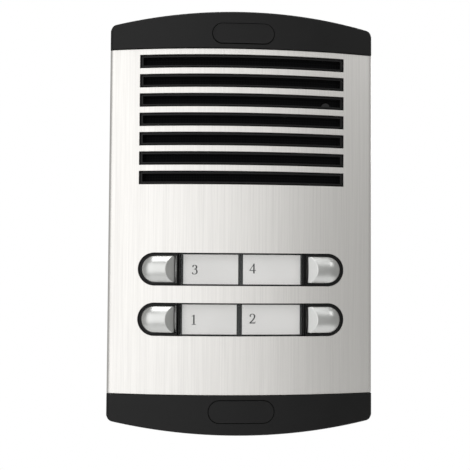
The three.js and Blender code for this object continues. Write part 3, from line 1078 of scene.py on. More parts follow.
@dataclass(frozen=True)
class Lacquer:
    """Green solder mask with the tracks under it."""

    name: str = "solder_mask"
    colour: Triple = (0.015, 0.13, 0.045)

    def make(self) -> Material:
        """Builds the material.

        Returns:
            The material.
        """
        recipe = Recipe(self.name)
        cells = recipe.node("TexVoronoi", distance="MANHATTAN", feature="DISTANCE_TO_EDGE")
        cells.inputs["Scale"].default_value = 160.0
        recipe.join(recipe.place, cells, "Vector")
        tracks = recipe.spread(cells.outputs["Distance"], (0.05, 0.09), (0.8, 0.2))
        cloud = recipe.noise(60.0, 3.0, 0.5)
        recipe.paint(recipe.sum(tracks, cloud, 0.2), self.colour, 0.8, 1.9)
        recipe.roughness(cloud, (0.25, 0.4))
        recipe.relief(tracks, 0.4, 0.04)
        return recipe.material


@dataclass(frozen=True)
class PrintedInk:
    """Black ink printed on card."""

    name: str = "printed_ink"

    def make(self) -> Material:
        """Builds the material.

        Returns:
            The material.
        """
        recipe = Recipe(self.name)
        patch = recipe.noise(1500.0, 3.0, 0.6)
        recipe.colour(recipe.tint(patch, (0.012, 0.012, 0.013), (0.03, 0.03, 0.032)))
        recipe.roughness(patch, (0.6, 0.8))
        recipe.relief(patch, 0.2, 0.01)
        return recipe.material


BLACK = (0.006, 0.006, 0.0062)
FINISHES = {
    "brushed_aluminium": BrushedAluminium(),
    "black_plastic": MouldedPlastic("black_plastic", BLACK, 0.42),
    "satin_chrome": SatinPlating("satin_chrome", (0.66, 0.665, 0.655), 0.33),
    "clear_plastic": ClearAcrylic(),
    "card_paper": CardPaper(),
    "acoustic_cloth": WovenCloth("acoustic_cloth", (0.004, 0.004, 0.0045)),
    "plated_steel": SatinPlating("plated_steel", (0.60, 0.61, 0.62), 0.3, 0.02),
    "spring_steel": SatinPlating("spring_steel", (0.50, 0.50, 0.51), 0.22, 0.01),
    "black_rubber": MouldedPlastic("black_rubber", (0.014, 0.014, 0.014), 0.72, 1200.0, 0.05),
    "foam": MouldedPlastic("foam", (0.02, 0.02, 0.023), 0.88, 700.0, 0.2),
    "speaker_cone": MouldedPlastic("speaker_cone", (0.012, 0.012, 0.014), 0.75, 500.0, 0.08),
    "ferrite": MouldedPlastic("ferrite", (0.045, 0.045, 0.05), 0.5, 900.0, 0.04),
    "circuit_board": Lacquer(),
    "terminal_green": MouldedPlastic("terminal_green", (0.02, 0.17, 0.05), 0.4),
    "trimmer_blue": MouldedPlastic("trimmer_blue", (0.02, 0.07, 0.30), 0.4),
    "lead_insulation": MouldedPlastic("lead_insulation", (0.32, 0.012, 0.012), 0.45),
    "diffuser_plastic": MouldedPlastic("diffuser_plastic", (0.80, 0.79, 0.72), 0.3, 900.0, 0.01),
    "printed_ink": PrintedInk(),
    # The grille screw's steel is painted near-black as painted shade, so the screw sinks into the
    # shade behind its slot instead of showing its plated finish.
    "steel_painted_shade": SatinPlating("steel_painted_shade", (0.03, 0.03, 0.031), 0.2),
}


class Finisher:
    """Dresses pieces and puts them on their bodies."""

    def __init__(self) -> None:
        """Makes every finish once."""
        self.materials = {slot: finish.make() for slot, finish in FINISHES.items()}

    def dress(self, piece: Object, slot: str) -> Object:
        """Gives a piece one finish in place of what it had.

        Args:
            piece: The piece worked on.
            slot: The finish's name.

        Returns:
            The piece.
        """
        piece.data.materials.clear()
        piece.data.materials.append(self.materials[slot])
        return piece

    def fit(
        self, piece: Object, body: str, slot: str, stands_for: Iterable[str] = (), look: str = ""
    ) -> Object:
        """Dresses a piece, sets it on its body and reports it.

        Args:
            piece: The finished mesh, in place.
            body: The CAD body that it moves with.
            slot: The record's material slot.
            stands_for: The CAD nodes that it replaces.
            look: A finish other than the slot's own.

        Returns:
            The piece.
        """
        self.dress(piece, look or slot)
        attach(piece, body)
        nodes = list(stands_for)
        if nodes:
            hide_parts(*nodes)
        LOG.info("%s: %d faces on %s", piece.name, len(piece.data.polygons), body)
        return piece


# --- front shell


@dataclass
class FacePlate:
    """The convex aluminium face with its slots and its two row openings."""

    thickness: float = 1.5
    slot_count: int = 7
    slot_half_length: float = 49.0
    slot_height: float = 6.4
    slot_pitch: float = 9.25
    first_below: float = 3.0
    opening_half_length: float = 49.0
    opening_half_height: float = 7.75
    cutter_end_y: float = -20.0
    edge: float = 0.13

    def slot_z(self, index: int) -> float:
        """Height of a slot's middle, counted from the top."""
        top = SHAPE.top_seam - self.first_below - self.slot_height / 2
        return top - index * self.slot_pitch

    def build(self) -> Object:
        """Bends the sheet, cuts it and breaks its edges.

        Returns:
            The piece.
        """
        low, high = SHAPE.bottom_seam + GAP, SHAPE.top_seam - GAP
        plate = Stock.section("face_plate", 0.0, (low, high))
        Bench.thicken(plate, self.thickness)
        half = self.slot_height / 2
        across = (-self.slot_half_length, self.slot_half_length)
        through = (-FAR, self.cutter_end_y)
        for index in range(self.slot_count):
            z = self.slot_z(index)
            Bench.combine(plate, Stock.block(across, through, (z - half, z + half)), Join.CUT)
        for z in ROW_HEIGHTS.values():
            length, height = self.opening_half_length, self.opening_half_height
            Bench.combine(plate, Stock.stadium(z, length, height, through), Join.CUT)
        return Bench.finish(Bench.tidy(plate), self.edge)


@dataclass
class EndCap:
    """A black end cap: an arched, hollow moulding with an oval recess."""

    name: str
    upward: bool
    seam: float
    oval_z: float
    oval_half_length: float
    oval_half_height: float
    wall: float = 2.2
    proud: float = 0.6
    rounding: float = 0.9
    recess_y: float = -35.5
    run_on: float = 9.0
    hollow_run_on: float = 12.0
    backing_margin: float = 2.0
    backing_y: Span = (-35.9, -33.6)
    boss_radius: float = 0.0
    boss_y: Span = (-35.0, -16.2)
    counterbore_radius: float = 3.7
    counterbore_end_y: float = -18.4
    hole_radius: float = 2.1
    hole_y: Span = (-20.0, -14.0)
    edge: float = 0.18

    def build(self) -> Object:
        """Shapes the moulding, rounds its front edge, hollows it and sinks the recess.

        Returns:
            The piece.
        """
        start = abs(self.seam)
        cap = self._under_arch(0.0, -self.proud, start - self.run_on)
        front = Stock.block((-80.0, 80.0), (-FAR, SHAPE.back_y), (start, 120.0))
        Bench.combine(cap, front, Join.KEEP)
        inner = self._under_arch(self.wall, self.wall - self.proud, start - self.hollow_run_on)
        Bench.combine(cap, inner, Join.CUT)
        if not self.upward:
            Bench.flip(cap, Axis.Z)
        self._sink_oval(cap)
        Bench.tidy(cap)
        Bench.mark_edges(cap, 30.0, self._on_arch)
        Bench.soften(cap, self.rounding, 4, marked=True)
        return Bench.finish(cap, self.edge, angle=55.0)

    def _sink_oval(self, cap: Object) -> None:
        """Adds the oval's backing and its boss, sinks the recess and bores the boss.

        Args:
            cap: The moulding as it stands.
        """
        z, length, height = self.oval_z, self.oval_half_length, self.oval_half_height
        margin = self.backing_margin
        backing = Stock.stadium(z, length + margin, height + margin, self.backing_y)
        Bench.combine(cap, backing, Join.ADD)
        if self.boss_radius:
            Bench.combine(cap, Stock.rod(0.0, z, self.boss_radius, self.boss_y), Join.ADD)
        recess = Stock.stadium(z, length + GAP, height + GAP, (-FAR, self.recess_y))
        Bench.combine(cap, recess, Join.CUT)
        if self.boss_radius:
            wide = Stock.rod(0.0, z, self.counterbore_radius, (-FAR, self.counterbore_end_y))
            Bench.combine(cap, wide, Join.CUT)
            Bench.combine(cap, Stock.rod(0.0, z, self.hole_radius, self.hole_y), Join.CUT)

    def _on_arch(self, point: Vector) -> bool:
        """True on the arched front edge."""
        near = abs(abs(point.z) - SHAPE.top_z(point.x)) < 0.02
        return near and point.y < -20.0

    def _under_arch(self, inset: float, depth: float, low: float) -> Object:
        """The section's solid, cut to the arched outline.

        Args:
            inset: How far inside the outline it lies.
            depth: How far behind the face it lies.
            low: The height of its lower end.

        Returns:
            The solid.
        """
        solid = Stock.section(self.name, depth, (low, 130.0), inset, back=-2.0)
        Bench.combine(solid, Stock.arched(inset, low - 5.0), Join.KEEP)
        return Bench.tidy(solid)


@dataclass
class OvalPlate:
    """A plain oval that follows the end cap's curve, with a raised rim."""

    name: str
    z: float
    half_length: float
    half_height: float
    proud: float = 1.0
    rim: float = 1.1
    sink: float = 0.28
    back_y: float = -35.8
    plug_radius: float = 0.0
    plug_y: Span = (-36.0, -32.5)
    edge: float = 0.26

    def build(self) -> Object:
        """Cuts the oval to the curve, rounds it and sinks its field.

        Returns:
            The piece.
        """
        plate = Stock.stadium(self.z, self.half_length, self.half_height, (-FAR, self.back_y))
        plate.name = plate.data.name = self.name
        solid = Stock.behind(-self.proud, (self.z - 9.0, self.z + 9.0))
        Bench.combine(plate, solid, Join.KEEP)
        Bench.tidy(plate)
        Bench.edit(plate)
        Bench.select_faces(plate, lambda middle, normal: normal.y < -0.9)
        bpy.ops.mesh.inset(thickness=self.rim * MM, use_boundary=True, use_even_offset=True)
        bpy.ops.transform.shrink_fatten(value=-self.sink * MM)
        Bench.clear()
        if self.plug_radius:
            plug = Stock.rod(0.0, self.z, self.plug_radius, self.plug_y)
            Bench.combine(plate, plug, Join.ADD)
        return Bench.finish(Bench.tidy(plate), self.edge, 3, 30.0)


@dataclass
class Grille:
    """The black insert behind the slots, with a thin collar standing in each one."""

    plate: FacePlate
    depth: float = 1.8
    thickness: float = 1.2
    half_width: float = 51.5
    margin: float = 1.3
    side_inset: float = 1.1
    edge_inset: float = 0.6
    collar: float = 0.7
    collar_depth: float = 0.5
    edge: float = 0.14
    cloth_x: Span = (-50.5, 50.5)
    cloth_z: Span = (15.0, 80.0)
    cloth_depth: float = 3.3
    cloth_thickness: float = 0.5
    screw_x: float = 40.5
    screw_z: float = 56.2
    screw_hole: float = 2.5

    def build(self) -> Object:
        """Scores the collars on a curved skin, thickens it and raises them.

        Returns:
            The piece.
        """
        count = self.plate.slot_count
        half = self.plate.slot_height / 2
        low = self.plate.slot_z(count - 1) - half - self.margin
        high = self.plate.slot_z(0) + half + self.margin
        across = (-self.half_width, self.half_width)
        insert = Stock.sheet("grille_insert", across, (low, high), self.depth)
        outer_x = self.plate.slot_half_length - self.side_inset
        outer_z = half - self.edge_inset
        inner_x, inner_z = outer_x - self.collar, outer_z - self.collar
        Bench.edit(insert)
        for i in range(count):
            z = self.plate.slot_z(i)
            Bench.score(Axis.Z, (z - outer_z, z - inner_z, z + inner_z, z + outer_z))
        Bench.score(Axis.X, (-outer_x, -inner_x, inner_x, outer_x))

        def within(middle: Vector, half_x: float, half_z: float) -> bool:
            """True over a slot's opening of a given size."""
            rows = (abs(middle.z - self.plate.slot_z(i)) < half_z for i in range(count))
            return abs(middle.x) < half_x and any(rows)

        Bench.select_faces(insert, lambda middle, normal: within(middle, inner_x, inner_z))
        bpy.ops.mesh.delete(type="FACE")
        Bench.clear()
        Bench.thicken(insert, self.thickness)
        Bench.edit(insert)
        front = self.depth + self.thickness / 2

        def on_collar(middle: Vector, normal: Vector) -> bool:
            """True on the front of a collar."""
            ahead = middle.y < SHAPE.face_y(middle.x, front)
            return ahead and normal.y < -0.5 and within(middle, outer_x, outer_z)

        Bench.select_faces(insert, on_collar)
        bpy.ops.mesh.extrude_region_shrink_fatten(
            TRANSFORM_OT_shrink_fatten={"value": (self.depth - self.collar_depth) * MM}
        )
        Bench.clear()
        return Bench.finish(Bench.tidy(insert), self.edge)

    def build_cloth(self) -> Object:
        """The cloth behind the grille, pierced where the grille's screw passes.

        Returns:
            The piece.
        """
        cloth = Stock.sheet("acoustic_cloth_panel", self.cloth_x, self.cloth_z, self.cloth_depth)
        Bench.thicken(cloth, self.cloth_thickness)
        hole = Stock.rod(self.screw_x, self.screw_z, self.screw_hole, (-FAR, 0.0))
        Bench.combine(cloth, hole, Join.CUT)
        return Bench.smooth(Bench.tidy(cloth))


# --- call rows


class Side(Enum):
    """Which end of a row a button is at."""

    LEFT = -1
    RIGHT = 1


@dataclass(frozen=True)
class ButtonOutline:
    """A button seen from the front: straight towards the cards, round at its outer end."""

    inner: float = 31.0
    outer: float = 47.1
    half_height: float = 6.2

    @property
    def middle(self) -> float:
        """Distance of the button's middle from the panel's."""
        return (self.inner + self.outer) / 2

    def bar(self, side: Side, z: float, grow: float, y: Point) -> Object:
        """A bar along y with the outline, grown all round.

        Args:
            side: The end of the row that it is at.
            z: The row's height.
            grow: How much larger than the button it is.
            y: Where it starts and ends.

        Returns:
            The solid.
        """
        sign = side.value
        radius = self.half_height + grow
        centre = sign * (self.outer - self.half_height)
        inner = sign * (self.inner - grow)
        pen = Pen("well", (centre, y[0], z - radius))
        pen.arc((centre, y[0], z), Axis.Y, -180.0 * sign, STEPS.well_end)
        pen.line((inner, y[0], z + radius)).line((inner, y[0], z - radius))
        pen.line((centre, y[0], z - radius)).fill().pull((0.0, y[1] - y[0], 0.0))
        return pen.lift()


@dataclass
class CallRow:
    """One row: the black frame with its two wells and the clear strip over the cards."""

    name: str
    z: float
    outline: ButtonOutline = ButtonOutline()
    half_length: float = 48.7
    half_height: float = 7.45
    reach: float = 12.0
    proud: float = 0.35
    back_y: float = -29.1
    rim_half_length: float = 50.5
    rim_half_height: float = 9.25
    rim_front: float = 1.8
    rim_back: float = 3.3
    pocket_depth: float = 2.5
    opening_x: Span = (5.0, 24.0)
    opening_half_height: float = 4.6
    well_gap: float = 0.25
    groove: Span = (0.72, 1.0)
    groove_depth: float = 0.22
    edge: float = 0.12
    pane_half_length: float = 28.9
    pane_half_height: float = 7.3
    pane_depth: float = -0.1
    pane_thickness: float = 1.8
    pane_edge: float = 0.3

    def build_frame(self) -> Object:
        """The frame: a stadium with a curved front, a window pocket and two button wells.

        Returns:
            The piece.
        """
        low, high = self.z - self.reach, self.z + self.reach
        frame = Stock.stadium(self.z, self.half_length, self.half_height, (-FAR, self.back_y))
        frame.name = frame.data.name = f"row_frame_{self.name}"
        Bench.combine(frame, Stock.behind(-self.proud, (low, high)), Join.KEEP)
        rim = Stock.stadium(self.z, self.rim_half_length, self.rim_half_height, (-FAR, 0.0))
        Bench.combine(rim, Stock.behind(self.rim_front, (low, high)), Join.KEEP)
        Bench.combine(rim, Stock.behind(self.rim_back, (low - 1.0, high + 1.0)), Join.CUT)
        Bench.combine(frame, rim, Join.ADD)
        pocket = Stock.before(self.pocket_depth, self.pane_half_length + GAP, (low, high))
        Bench.combine(frame, pocket, Join.CUT)
        opening_z = (self.z - self.opening_half_height, self.z + self.opening_half_height)
        for side in Side:
            opening_x = sorted(side.value * x for x in self.opening_x)
            Bench.combine(frame, Stock.block(opening_x, (-FAR, 0.0), opening_z), Join.CUT)
            well = self.outline.bar(side, self.z, self.well_gap, (-FAR, 0.0))
            Bench.combine(frame, well, Join.CUT)
            Bench.combine(frame, self._groove(side, (low, high)), Join.CUT)
        return Bench.finish(Bench.tidy(frame), self.edge)

    def _groove(self, side: Side, z: Point) -> Object:
        """The fine groove around a button's well.

        Args:
            side: The end of the row that is meant.
            z: The lower and upper end.

        Returns:
            The solid that cuts it.
        """
        inside, outside = self.groove
        ring = self.outline.bar(side, self.z, self.well_gap + outside, (-FAR, -20.0))
        core = self.outline.bar(side, self.z, self.well_gap + inside, (-FAR - 1.0, -19.0))
        Bench.combine(ring, core, Join.CUT)
        return Bench.combine(ring, Stock.before(self.groove_depth - self.proud, 60.0, z), Join.KEEP)

    def build_window(self) -> Object:
        """The clear strip over both cards.

        Returns:
            The piece.
        """
        across = (-self.pane_half_length, self.pane_half_length)
        heights = (self.z - self.pane_half_height, self.z + self.pane_half_height)
        strip = Stock.sheet(f"window_{self.name}", across, heights, self.pane_depth)
        Bench.thicken(strip, self.pane_thickness)
        return Bench.finish(strip, self.pane_edge, 3)


@dataclass
class Numeral:
    """A numeral with serifs, drawn with a broad nib that is thin across and thick upright."""

    number: int
    thin: float = 0.22
    thick: float = 0.66
    ink: float = 0.04

    def build(self) -> Object:
        """Draws the strokes at the frame's origin and joins them.

        Returns:
            The piece.
        """
        strokes = {1: self._one, 2: self._two, 3: self._three, 4: self._four}[self.number]()
        numeral, *others = strokes
        for other in others:
            Bench.combine(numeral, other, Join.ADD)
        numeral.name = numeral.data.name = f"numeral_{self.number}"
        return Bench.tidy(numeral)

    def _one(self) -> list[Object]:
        """A stem with a flag and a foot."""
        return [
            self._bar((0.0, 2.3), (0.0, -2.3), self.thick),
            self._bar((-1.05, 1.62), (0.05, 2.12), self.thin),
            self._bar((-1.0, -2.18), (1.0, -2.18), self.thin),
        ]

    def _two(self) -> list[Object]:
        """A bowl that sweeps down to a heavy foot.

        Returns:
            The strokes.
        """
        bowl = self._sweep((-0.1, 1.05), 1.12, 165.0, -22.0)
        bowl += [(0.5, -0.25), (-0.3, -1.15), (-1.25, -1.98)]
        return [
            self._ribbon(bowl),
            self._bar((-1.4, -2.05), (1.3, -2.05), 0.48),
            self._bar((1.12, -2.0), (1.4, -1.4), self.thin),
            self._dot((-1.0, 1.1), 0.3),
        ]

    def _three(self) -> list[Object]:
        """Two bowls with a drop at each end."""
        return [
            self._ribbon(self._sweep((-0.1, 1.22), 0.95, 150.0, -95.0)),
            self._ribbon(self._sweep((-0.15, -0.92), 1.22, 100.0, -140.0)),
            self._dot((-0.82, 1.45), 0.28),
            self._dot((-1.02, -1.6), 0.32),
        ]

    def _four(self) -> list[Object]:
        """A thin slope and bar with a thick stem."""
        return [
            self._bar((0.55, 2.3), (0.55, -2.3), self.thick),
            self._bar((0.62, 2.15), (-1.45, -0.85), self.thin + 0.05),
            self._bar((-1.55, -0.9), (1.5, -0.9), self.thin + 0.12),
        ]

    def _sweep(self, centre: Point, radius: float, start: float, end: float) -> list[Point]:
        """Points on an arc, its angles in degrees from the right-hand side upwards."""
        turns = [math.radians(start + (end - start) * i / 20) for i in range(21)]
        return [(centre[0] + radius * math.cos(t), centre[1] + radius * math.sin(t)) for t in turns]

    def _ribbon(self, path: list[Point]) -> Object:
        """A stroke along a path, as wide as the nib makes it in each direction.

        Args:
            path: The points that the stroke follows.

        Returns:
            The stroke.
        """
        left, right = [], []
        for i, (x, z) in enumerate(path):
            before, after = path[max(i - 1, 0)], path[min(i + 1, len(path) - 1)]
            along = Vector((after[0] - before[0], after[1] - before[1])).normalized()
            width = self.thin + (self.thick - self.thin) * abs(along.y) ** 1.5
            left.append((x - along.y * width / 2, z + along.x * width / 2))
            right.append((x + along.y * width / 2, z - along.x * width / 2))
        return self._plate(left + right[::-1])

    def _bar(self, start: Point, end: Point, width: float) -> Object:
        """A straight stroke of one width.

        Args:
            start: The stroke's start.
            end: The stroke's end.
            width: The stroke's width.

        Returns:
            The stroke.
        """
        along = Vector((end[0] - start[0], end[1] - start[1])).normalized() * width / 2
        across = Vector((-along.y, along.x))
        first, last = Vector(start), Vector(end)
        corners = [first + across, last + across, last - across, first - across]
        return self._plate([(corner.x, corner.y) for corner in corners])

    def _dot(self, centre: Point, radius: float) -> Object:
        """A round drop."""
        return self._plate(self._sweep(centre, radius, 0.0, 342.0))

    def _plate(self, points: list[Point]) -> Object:
        """A thin plate with an outline in the upright plane.

        Args:
            points: The corners in order.

        Returns:
            The stroke.
        """
        pen = Pen("stroke", (points[0][0], 0.0, points[0][1]))
        for x, z in points[1:] + points[:1]:
            pen.line((x, 0.0, z))
        return pen.fill().pull((0.0, -self.ink, 0.0)).lift()


@dataclass
class NameCard:
    """A printed card behind the clear strip."""

    number: int
    z: float
    left: float
    right: float
    numeral_x: float
    numeral_rise: float = 0.0
    half_height: float = 7.0
    depth: float = 1.95
    thickness: float = 0.3
    edge: float = 0.05
    ink_lift: float = 0.02

    def build(self) -> Object:
        """The card, bent to the face's curve.

        Returns:
            The piece.
        """
        heights = (self.z - self.half_height, self.z + self.half_height)
        card = Stock.sheet(f"card_{self.number}", (self.left, self.right), heights, self.depth, 24)
        Bench.thicken(card, self.thickness)
        return Bench.finish(card, self.edge, 1)

    def build_numeral(self) -> Object:
        """The numeral, standing a hair above the card.

        Returns:
            The piece.
        """
        numeral = Numeral(self.number).build()
        surface = SHAPE.face_y(self.numeral_x, self.depth - self.ink_lift)
        at = (self.numeral_x, surface, self.z + self.numeral_rise)
        Bench.place(numeral, at, SHAPE.slope(self.numeral_x))
        return Bench.tidy(numeral)


@dataclass
class CallButton:
    """A domed, plated button with a flat scoop towards the name card."""

    z: float
    outline: ButtonOutline = ButtonOutline()
    edge_above: float = 0.6
    dome_rise: float = 2.8
    scoop: float = 1.5
    skirt_y: float = -28.3
    flange_y: float = -27.1
    flange_margin: float = 0.8
    ceiling_y: float = -31.6
    wall: float = 1.1
    stem_half: float = 1.5
    stem_y: Span = (-32.0, -19.8)
    rounding: float = 0.28

    def build(self) -> Object:
        """Spins the dome, drops its skirt, cuts the scoop and hollows it, for the right side.

        Returns:
            The piece.
        """
        cap = self._dome()
        self._drop_skirt(cap)
        self._cut_scoop(cap)
        Bench.soften(cap, self.rounding, 3, 24.0)
        self._back(cap)
        return cap

    def copy(self, cap: Object, number: int, side: Side, z: float) -> Object:
        """A copy of the finished button.

        Args:
            cap: The button as built.
            number: The copy's number.
            side: The end of the row that it is at.
            z: The row's height.

        Returns:
            The copy, in place.
        """
        twin = Bench.copy(cap, f"button_{number}", (0.0, 0.0, z - self.z))
        if side is Side.LEFT:
            Bench.flip(twin, Axis.X)
        return Bench.smooth(Bench.tidy(twin), 30.0)

    def _dome(self) -> Object:
        """The dome's skin, with its middle at the frame's.

        Returns:
            The skin.
        """
        outline = self.outline
        edge = -self.edge_above
        crown = edge - self.dome_rise
        radius = (outline.half_height**2 + self.dome_rise**2) / (2 * self.dome_rise)
        lean = math.degrees(math.asin(outline.half_height / radius))
        round_x = outline.outer - outline.half_height - outline.middle
        hub = (round_x, crown + radius, 0.0)
        pen = Pen("button", (round_x, edge, -outline.half_height))
        pen.arc(hub, Axis.X, -2 * lean, STEPS.dome)
        pen.pull((outline.inner - outline.middle - round_x, 0.0, 0.0))
        straight = pen.lift()
        pen = Pen("round_end", (round_x, crown, 0.0))
        pen.arc(hub, Axis.X, lean, STEPS.dome // 2)
        bpy.ops.mesh.select_all(action="SELECT")
        centre = Vector((round_x, 0.0, 0.0)) * MM
        bpy.ops.mesh.spin(steps=STEPS.dome, angle=math.pi, center=centre, axis=Axis.Y.value)
        round_end = pen.lift()
        Bench.hold(straight)
        round_end.select_set(True)
        bpy.ops.object.join()
        return Stock.face_forward(Bench.tidy(straight))

    def _seat(self) -> Vector:
        """Where the button's middle meets the face, in millimetres."""
        return Vector((self.outline.middle, SHAPE.face_y(self.outline.middle), self.z))

    def _drop_skirt(self, cap: Object) -> None:
        """Leans the dome to the face's slope, puts it in place and drops its sides.

        Args:
            cap: The moulding as it stands.
        """
        Bench.place(cap, self._seat(), SHAPE.slope(self.outline.middle))
        Bench.edit(cap)
        bpy.ops.mesh.select_mode(type="EDGE")
        bpy.ops.mesh.select_all(action="DESELECT")
        bpy.ops.mesh.select_non_manifold()
        bpy.ops.mesh.extrude_edges_move(TRANSFORM_OT_translate={"value": (0.0, 0.0, 0.0)})
        level = (0.0, self.skirt_y * MM, 0.0)
        bpy.ops.transform.resize(value=(1.0, 0.0, 1.0), center_override=level)
        bpy.ops.mesh.edge_face_add()
        Bench.clear()
        Bench.tidy(cap)

    def _cut_scoop(self, cap: Object) -> None:
        """Cuts the flat scoop at the inner end.

        Args:
            cap: The moulding as it stands.
        """
        outline = self.outline
        tilt = Matrix.Rotation(SHAPE.slope(outline.middle), 3, "Z")
        start = Vector((outline.inner - outline.middle + self.scoop, -self.edge_above, 0.0))
        point = (tilt @ start + self._seat()) * MM
        normal = tilt @ Vector((-1.0, -1.0, 0.0)).normalized()
        Bench.edit(cap)
        bpy.ops.mesh.select_all(action="SELECT")
        bpy.ops.mesh.bisect(plane_co=point, plane_no=normal, use_fill=True, clear_outer=True)
        Bench.clear()
        Bench.tidy(cap)

    def _back(self, cap: Object) -> None:
        """Hollows the cap and adds the flange and the stem behind it.

        Args:
            cap: The moulding as it stands.
        """
        outline, right = self.outline, Side.RIGHT
        flange = outline.bar(right, self.z, self.flange_margin, (self.skirt_y, self.flange_y))
        Bench.combine(cap, flange, Join.ADD)
        hollow = outline.bar(right, self.z, -self.wall, (self.ceiling_y, -20.0))
        Bench.combine(cap, hollow, Join.CUT)
        stem_x = (outline.middle - self.stem_half, outline.middle + self.stem_half)
        stem_z = (self.z - self.stem_half, self.z + self.stem_half)
        Bench.combine(cap, Stock.block(stem_x, self.stem_y, stem_z), Join.ADD)


@dataclass
class ReturnSpring:
    """A coil spring around a button's stem, wound at its length at rest."""

    radius: float = 3.7
    wire: float = 0.35
    turns: float = 4.5
    steps_per_turn: int = 28
    front_y: float = -30.9
    back_y: float = -25.2
    travel: float = 1.8
    middle: float = 39.05

    def build(self) -> Object:
        """Winds a wire about the frame's y and closes its ends.

        Returns:
            The piece.
        """
        length = self.back_y - self.front_y - 2 * self.wire
        pen = Pen("wire", (self.radius + self.wire, 0.0, 0.0))
        pen.arc((self.radius, 0.0, 0.0), Axis.Z, 360.0, STEPS.wire)
        coil = pen.lift()
        steps = int(self.steps_per_turn * self.turns)
        angle = math.tau * self.turns
        screw = {"axis": "Y", "angle": angle, "screw_offset": length * MM}
        Bench.modify(coil, "SCREW", steps=steps, render_steps=steps, **screw)
        Bench.edit(coil)
        bpy.ops.mesh.select_all(action="SELECT")
        bpy.ops.mesh.fill_holes(sides=0)
        Bench.clear()
        return coil

    def copy(self, coil: Object, number: int, side: Side, z: float) -> Object:
        """A copy of the wound coil, set around the stem of the button with that number.

        Args:
            coil: The coil as wound.
            number: The copy's number.
            side: The end of the row that is meant.
            z: The row's height.

        Returns:
            The piece.
        """
        at = (side.value * self.middle, self.front_y + self.wire, z)
        twin = Bench.copy(coil, f"spring_{number}", at)
        return Bench.smooth(Bench.tidy(twin), 50.0)

    @property
    def keep(self) -> float:
        """The share of its length that is left when the button is in."""
        length = self.back_y - self.front_y
        return (length - self.travel) / length


# --- carried-over nodes


@dataclass
class InnerWorks:
    """The CAD nodes that stay: each gets softened edges and its finish."""

    finisher: Finisher
    widths: dict[str, float] = field(
        default_factory=lambda: {
            "rear_housing": 0.35,
            "chassis": 0.25,
            "wall_gasket": 0.2,
            "circuit_board": 0.1,
            "terminal_block": 0.25,
            "volume_trimmer": 0.3,
            "speaker_magnet": 0.25,
            "light_guide_upper": 0.3,
            "light_guide_lower": 0.3,
        }
    )

    def dress(self, nodes: dict[str, Object], slots: dict[str, str]) -> None:
        """Dresses every node that is still shown.

        Args:
            nodes: The CAD nodes by name.
            slots: Each node's material slot.
        """
        for name, node in sorted(nodes.items()):
            if node.hide_render:
                continue
            # The grille screw takes the near-black steel in place of its plated finish: painted
            # shade, to match the shade behind its slot.
            look = "steel_painted_shade" if name == "grille_screw" else slots[name]
            self.finisher.dress(node, look)
            weld = node.modifiers.new("Weld", "WELD")
            weld.merge_threshold = 0.001 * MM
            if not name.startswith(("return_spring", "speaker_lead")):
                bevel = node.modifiers.new("Bevel", "BEVEL")
                bevel.width = self.widths.get(name, 0.12) * MM
                bevel.segments = 2
                bevel.limit_method = "ANGLE"
                bevel.angle_limit = math.radians(35.0)
            LOG.info("%s keeps its CAD shape", name)


# --- studio


@dataclass(frozen=True)
class SoftBox:
    """A rectangular light aimed at the panel, its place and size in metres, its power in watts."""

    name: str
    at: Triple
    size: Span
    power: float

    def hang(self) -> None:
        """Puts the light up."""
        data = bpy.data.lights.new(self.name, "AREA")
        data.shape = "RECTANGLE"
        data.size, data.size_y = self.size
        data.energy = self.power
        lamp = bpy.data.objects.new(self.name, data)
        bpy.context.scene.collection.objects.link(lamp)
        lamp.location = self.at
        lamp.rotation_euler = (-Vector(self.at)).to_track_quat("-Z", "Y").to_euler()


